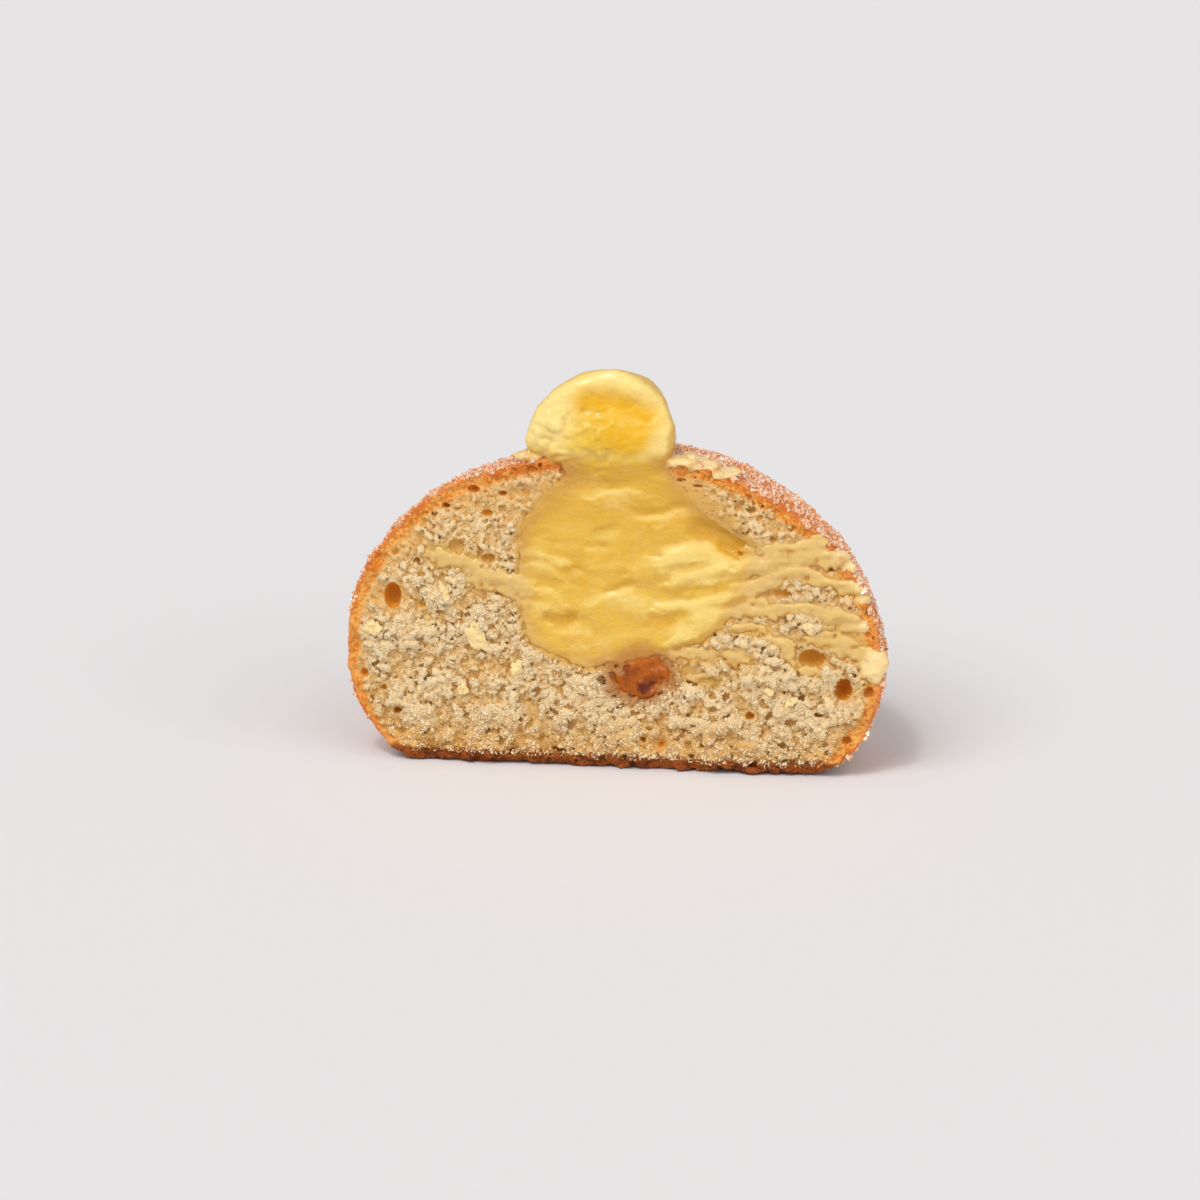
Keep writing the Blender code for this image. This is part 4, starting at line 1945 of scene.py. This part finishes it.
@dataclass(frozen=True)
class CustardFinish:
    """Moist custard, pale where it faces the light or stands out, which is painted light, and deep gold in
    its hollows, dents and sides turned away, which is painted shade.
    """

    gold: Colour = paint(231, 189, 72)
    warm: Colour = paint(226, 176, 58)
    # Painted light: where the custard faces the light or its marks stand out.
    lit: Colour = paint(242, 212, 122)
    # Painted shade: sides turned from the light, dents and hollows.
    deep: Colour = paint(216, 160, 34)
    film: Colour = paint(205, 151, 64)
    ridge: Colour = paint(226, 189, 116)
    blush: Colour = paint(252, 222, 162)
    stain: Colour = paint(190, 124, 44)
    head: Colour = paint(229, 186, 40)
    # Painted light round the rim of the head.
    rim: Colour = paint(249, 223, 142)
    # Painted shade in the hollow of the head.
    scoop: Colour = paint(239, 183, 0)

    def build(self) -> Material:
        """The finished material."""
        recipe = Recipe("custard_cream")
        hollow, thick = recipe.noted("hollow"), recipe.noted("thick")
        cloud, fine = recipe.speckle(2.4, flat=2.2), recipe.speckle(0.8, flat=1.5)
        puff, fleck, drift = cloud - 0.5, fine - 0.5, recipe.speckle(6.0, flat=1.8) - 0.5
        lit = recipe.noted("lit") + 0.25 * puff + 0.2 * fleck
        raised = recipe.noted("raised") + 0.9 * puff + 0.5 * fleck
        up = recipe.axis("Z")
        # Painted shade under the head: a band 40 to 56 mm up takes the warmer, darker colour.
        upper = up.step(0.040, 0.047) * up.step(0.056, 0.051) * 0.8
        # The head is paler at its rim, which is painted light, and deeper gold in its scooped hollow, which
        # is painted shade.
        head = recipe.over(self.head, (recipe.noted("rim"), self.rim), (recipe.noted("scoop"), self.scoop))
        # Raised smears take the paler ridge colour, thicker custard, with painted light where they face the
        # light.
        standing = (recipe.noted("ridge") + 0.6 * (lit - 0.5)).step(0.1, 0.9)
        colour = recipe.over(
            self.gold,
            # Warm in random clouds, and as painted shade in the band under the head.
            ((cloud + 0.7 * drift).step(0.42, 0.62).most(upper), self.warm),
            # Painted light on marks that stand out.
            ((raised + 0.8 * drift).step(0.05, 0.75), self.lit),
            # Painted shade where the custard faces away from the light.
            (lit.step(0.42, 0.0) * 0.5, self.deep),
            # Painted highlight where it faces the light.
            (lit.step(0.5, 1.1) * 0.7, self.lit),
            # Painted shade in dents.
            (raised.step(-0.1, -0.8) * 0.85, self.deep),
            (recipe.noted("head") * 0.9, head),
            # Painted shade in crowded hollows.
            ((hollow + 0.1 * fleck).step(0.52, 0.72) * 0.6, self.deep),
            ((1.0 - thick) * 0.92, recipe.over(self.film, (standing, self.ridge))),
            (recipe.noted("lobe") * 0.9, self.blush),
            (recipe.noted("stain") * 0.8, self.stain),
        )
        bump = recipe.bump(0.7 * cloud + fine + 0.35 * recipe.speckle(0.3), 0.2)
        return recipe.surface(
            Base_Color=colour,
            Roughness=0.3 + 0.2 * recipe.speckle(1.4),
            Normal=bump,
            Specular_IOR_Level=0.38,
            Subsurface_Weight=0.4,
            Subsurface_Radius=(1.0, 0.92, 0.6),
            Subsurface_Scale=0.9 * MM,
            Coat_Weight=0.7 * recipe.speckle(1.6).step(0.48, 0.6),
            Coat_Roughness=0.08,
        )


@dataclass(frozen=True)
class CaramelFinish:
    """Glossy orange-brown caramel, lighter where it is thin."""

    dark: Colour = paint(98, 30, 0)
    light: Colour = paint(182, 92, 0)

    def build(self) -> Material:
        """The finished material."""
        recipe = Recipe("caramel_gloss")
        streak = recipe.speckle(1.2)
        thin = recipe.noted("edge") + 0.9 * (streak - 0.5) + 0.5 * (recipe.speckle(3.0) - 0.5)
        return recipe.surface(
            Base_Color=recipe.over(self.dark, (thin.step(0.15, 1.0), self.light)),
            Roughness=0.14 + 0.2 * streak,
            Normal=recipe.bump(recipe.speckle(0.9), 0.3),
            Subsurface_Weight=0.15,
            Subsurface_Radius=(1.0, 0.6, 0.3),
            Subsurface_Scale=1.0 * MM,
            Specular_IOR_Level=0.25,
            Coat_Weight=0.15,
            Coat_Roughness=0.06,
        )


@dataclass(frozen=True)
class SugarFinish:
    """Moist sugar crystals, which show the crust's colour through them."""

    white: Colour = paint(255, 244, 232)
    blush: Colour = paint(242, 196, 158)
    amber: Colour = paint(230, 142, 70)

    def build(self) -> Material:
        """The finished material."""
        recipe = Recipe("sugar")
        tone = recipe.speckle(0.45, 1.0)
        coats = (tone.step(0.4, 0.5), self.blush), (tone.step(0.54, 0.64), self.white)
        return recipe.surface(
            Base_Color=recipe.over(self.amber, *coats),
            Roughness=0.14,
            IOR=1.5,
            Coat_Weight=0.3,
            Coat_Roughness=0.05,
        )


@dataclass(frozen=True)
class FloorFinish:
    """The studio's plain pale floor."""

    tone: Colour = paint(232, 229, 230)

    def build(self) -> Material:
        """The finished material."""
        recipe = Recipe("studio_floor")
        return recipe.surface(Base_Color=self.tone, Roughness=0.9)


# ---------------------------------------------------------------- studio


@dataclass
class Studio:
    """Floor, lights and camera."""

    floor_radius: float = 12.0
    azimuth: float = math.radians(8.4)
    elevation: float = math.radians(16.06)
    distance: float = 1.05
    sensor_width: float = 36.0
    image: int = 1200
    pixels_per_mm: float = 5.703
    centre_px: tuple[float, float] = (612.7, 615.9)
    aim_height: float = 28.0
    surround: Colour = paint(240, 240, 240)
    surround_strength: float = 0.5
    suns: tuple[tuple[float, float, float, float], ...] = (
        # azimuth, elevation and width in degrees, and strength
        (-28.0, 48.0, 38.0, 1.36),
        (-20.0, 58.0, 6.0, 0.44),
        (50.0, 34.0, 60.0, 0.7),
    )

    def direction(self, azimuth: float, elevation: float) -> Vector:
        """From the object towards this azimuth and elevation."""
        flat = math.cos(elevation)
        return Vector((math.sin(azimuth) * flat, -math.cos(azimuth) * flat, math.sin(elevation)))

    def camera(self) -> None:
        """Puts the camera where the doughnut fills its share of the frame."""
        scene = bpy.context.scene
        data = bpy.data.cameras.new("camera")
        data.sensor_width = self.sensor_width
        data.lens = self.pixels_per_mm * self.distance / MM * data.sensor_width / self.image
        away = self.direction(self.azimuth, self.elevation)
        facing = away.to_track_quat("Z", "Y")
        aim = Vector((0.0, CUT_PLANE_Y * MM, self.aim_height * MM))
        right, up = facing @ Vector((1.0, 0.0, 0.0)), facing @ Vector((0.0, 1.0, 0.0))
        across, down = (place - self.image / 2 for place in self.centre_px)
        aim += (up * down - right * across) * MM / self.pixels_per_mm
        camera = bpy.data.objects.new("camera", data)
        camera.rotation_euler = facing.to_euler()
        camera.location = aim + away * self.distance
        scene.collection.objects.link(camera)
        scene.camera = camera

    def lights(self) -> None:
        """Soft, wide suns and an even surround."""
        scene = bpy.context.scene
        for number, (azimuth, elevation, width, strength) in enumerate(self.suns):
            data = bpy.data.lights.new(f"sun_{number}", "SUN")
            data.angle = math.radians(width)
            data.energy = strength
            lamp = bpy.data.objects.new(f"sun_{number}", data)
            towards = self.direction(math.radians(azimuth), math.radians(elevation))
            lamp.rotation_euler = towards.to_track_quat("Z", "Y").to_euler()
            lamp.location = towards
            scene.collection.objects.link(lamp)
        world = bpy.data.worlds.new("surround")
        world.use_nodes = True
        background = world.node_tree.nodes["Background"]
        background.inputs["Color"].default_value = self.surround
        background.inputs["Strength"].default_value = self.surround_strength
        scene.world = world
        scene.view_settings.view_transform = "Standard"

    def floor(self) -> None:
        """The floor, with its own finish."""
        reach = self.floor_radius / MM
        corners = [(-reach, -reach, 0.0), (reach, -reach, 0.0), (reach, reach, 0.0), (-reach, reach, 0.0)]
        floor = new_piece("floor", np.array(corners), np.array([(0, 1, 2, 3)]), FloorFinish().build())

    def build(self) -> None:
        """Sets up the whole studio."""
        self.floor()
        self.lights()
        self.camera()


# ---------------------------------------------------------------- assembly


def adopt(thing: Piece, slot: str, *nodes: str) -> None:
    """Fastens a piece to the frame and reports it.

    Args:
        thing: The piece.
        slot: A material slot of the record; not used.
        nodes: The nodes that it stands for.
    """
    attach(thing, BODY)
    if nodes:
        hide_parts(*nodes)
    thing.data.calc_loop_triangles()
    log.info("%s: %d triangles", thing.name, len(thing.data.loop_triangles))


def main() -> None:
    """Builds every piece in order."""
    logging.basicConfig(level=logging.INFO, format="%(relativeCreated)7.0f ms  %(message)s")
    Studio().build()
    film, caramel = Film(), Caramel()
    custard = Custard(film, caramel)
    dough = Dough(film, custard, caramel)

    crumb = dough.build(DoughFinish().build())
    adopt(crumb, "dough", "dough")
    cream = CustardFinish().build()
    adopt(custard.build(cream), "custard", "custard")
    adopt(Flakes().build(cream), "custard")
    adopt(caramel.build(CaramelFinish().build()), "caramel", "caramel")
    tufts = Shreds(
        name="crumb_tufts",
        seed=91,
        count=15000,
        smallest=0.16,
        largest=0.5,
        low=(0.5, 0.2, 0.6),
        high=(1.0, 0.5, 1.2),
        wobble=0.4,
        gather=0.45,
        stand=1.2,
        lift=0.0,
    )
    fibres = Shreds(
        name="crumb_fibres",
        seed=95,
        count=11000,
        smallest=0.18,
        largest=0.6,
        low=(0.15, 0.14, 1.0),
        high=(0.28, 0.24, 2.0),
        wobble=0.3,
        gather=0.4,
        stand=0.45,
        lift=0.04,
    )
    torn = ShredFinish().build()
    for shreds in (tufts, fibres):
        adopt(shreds.build(crumb, dough, torn), "dough")
    adopt(Sugar().build(crumb, dough.outline, SugarFinish().build()), "dough")


if __name__ == "__main__":
    main()
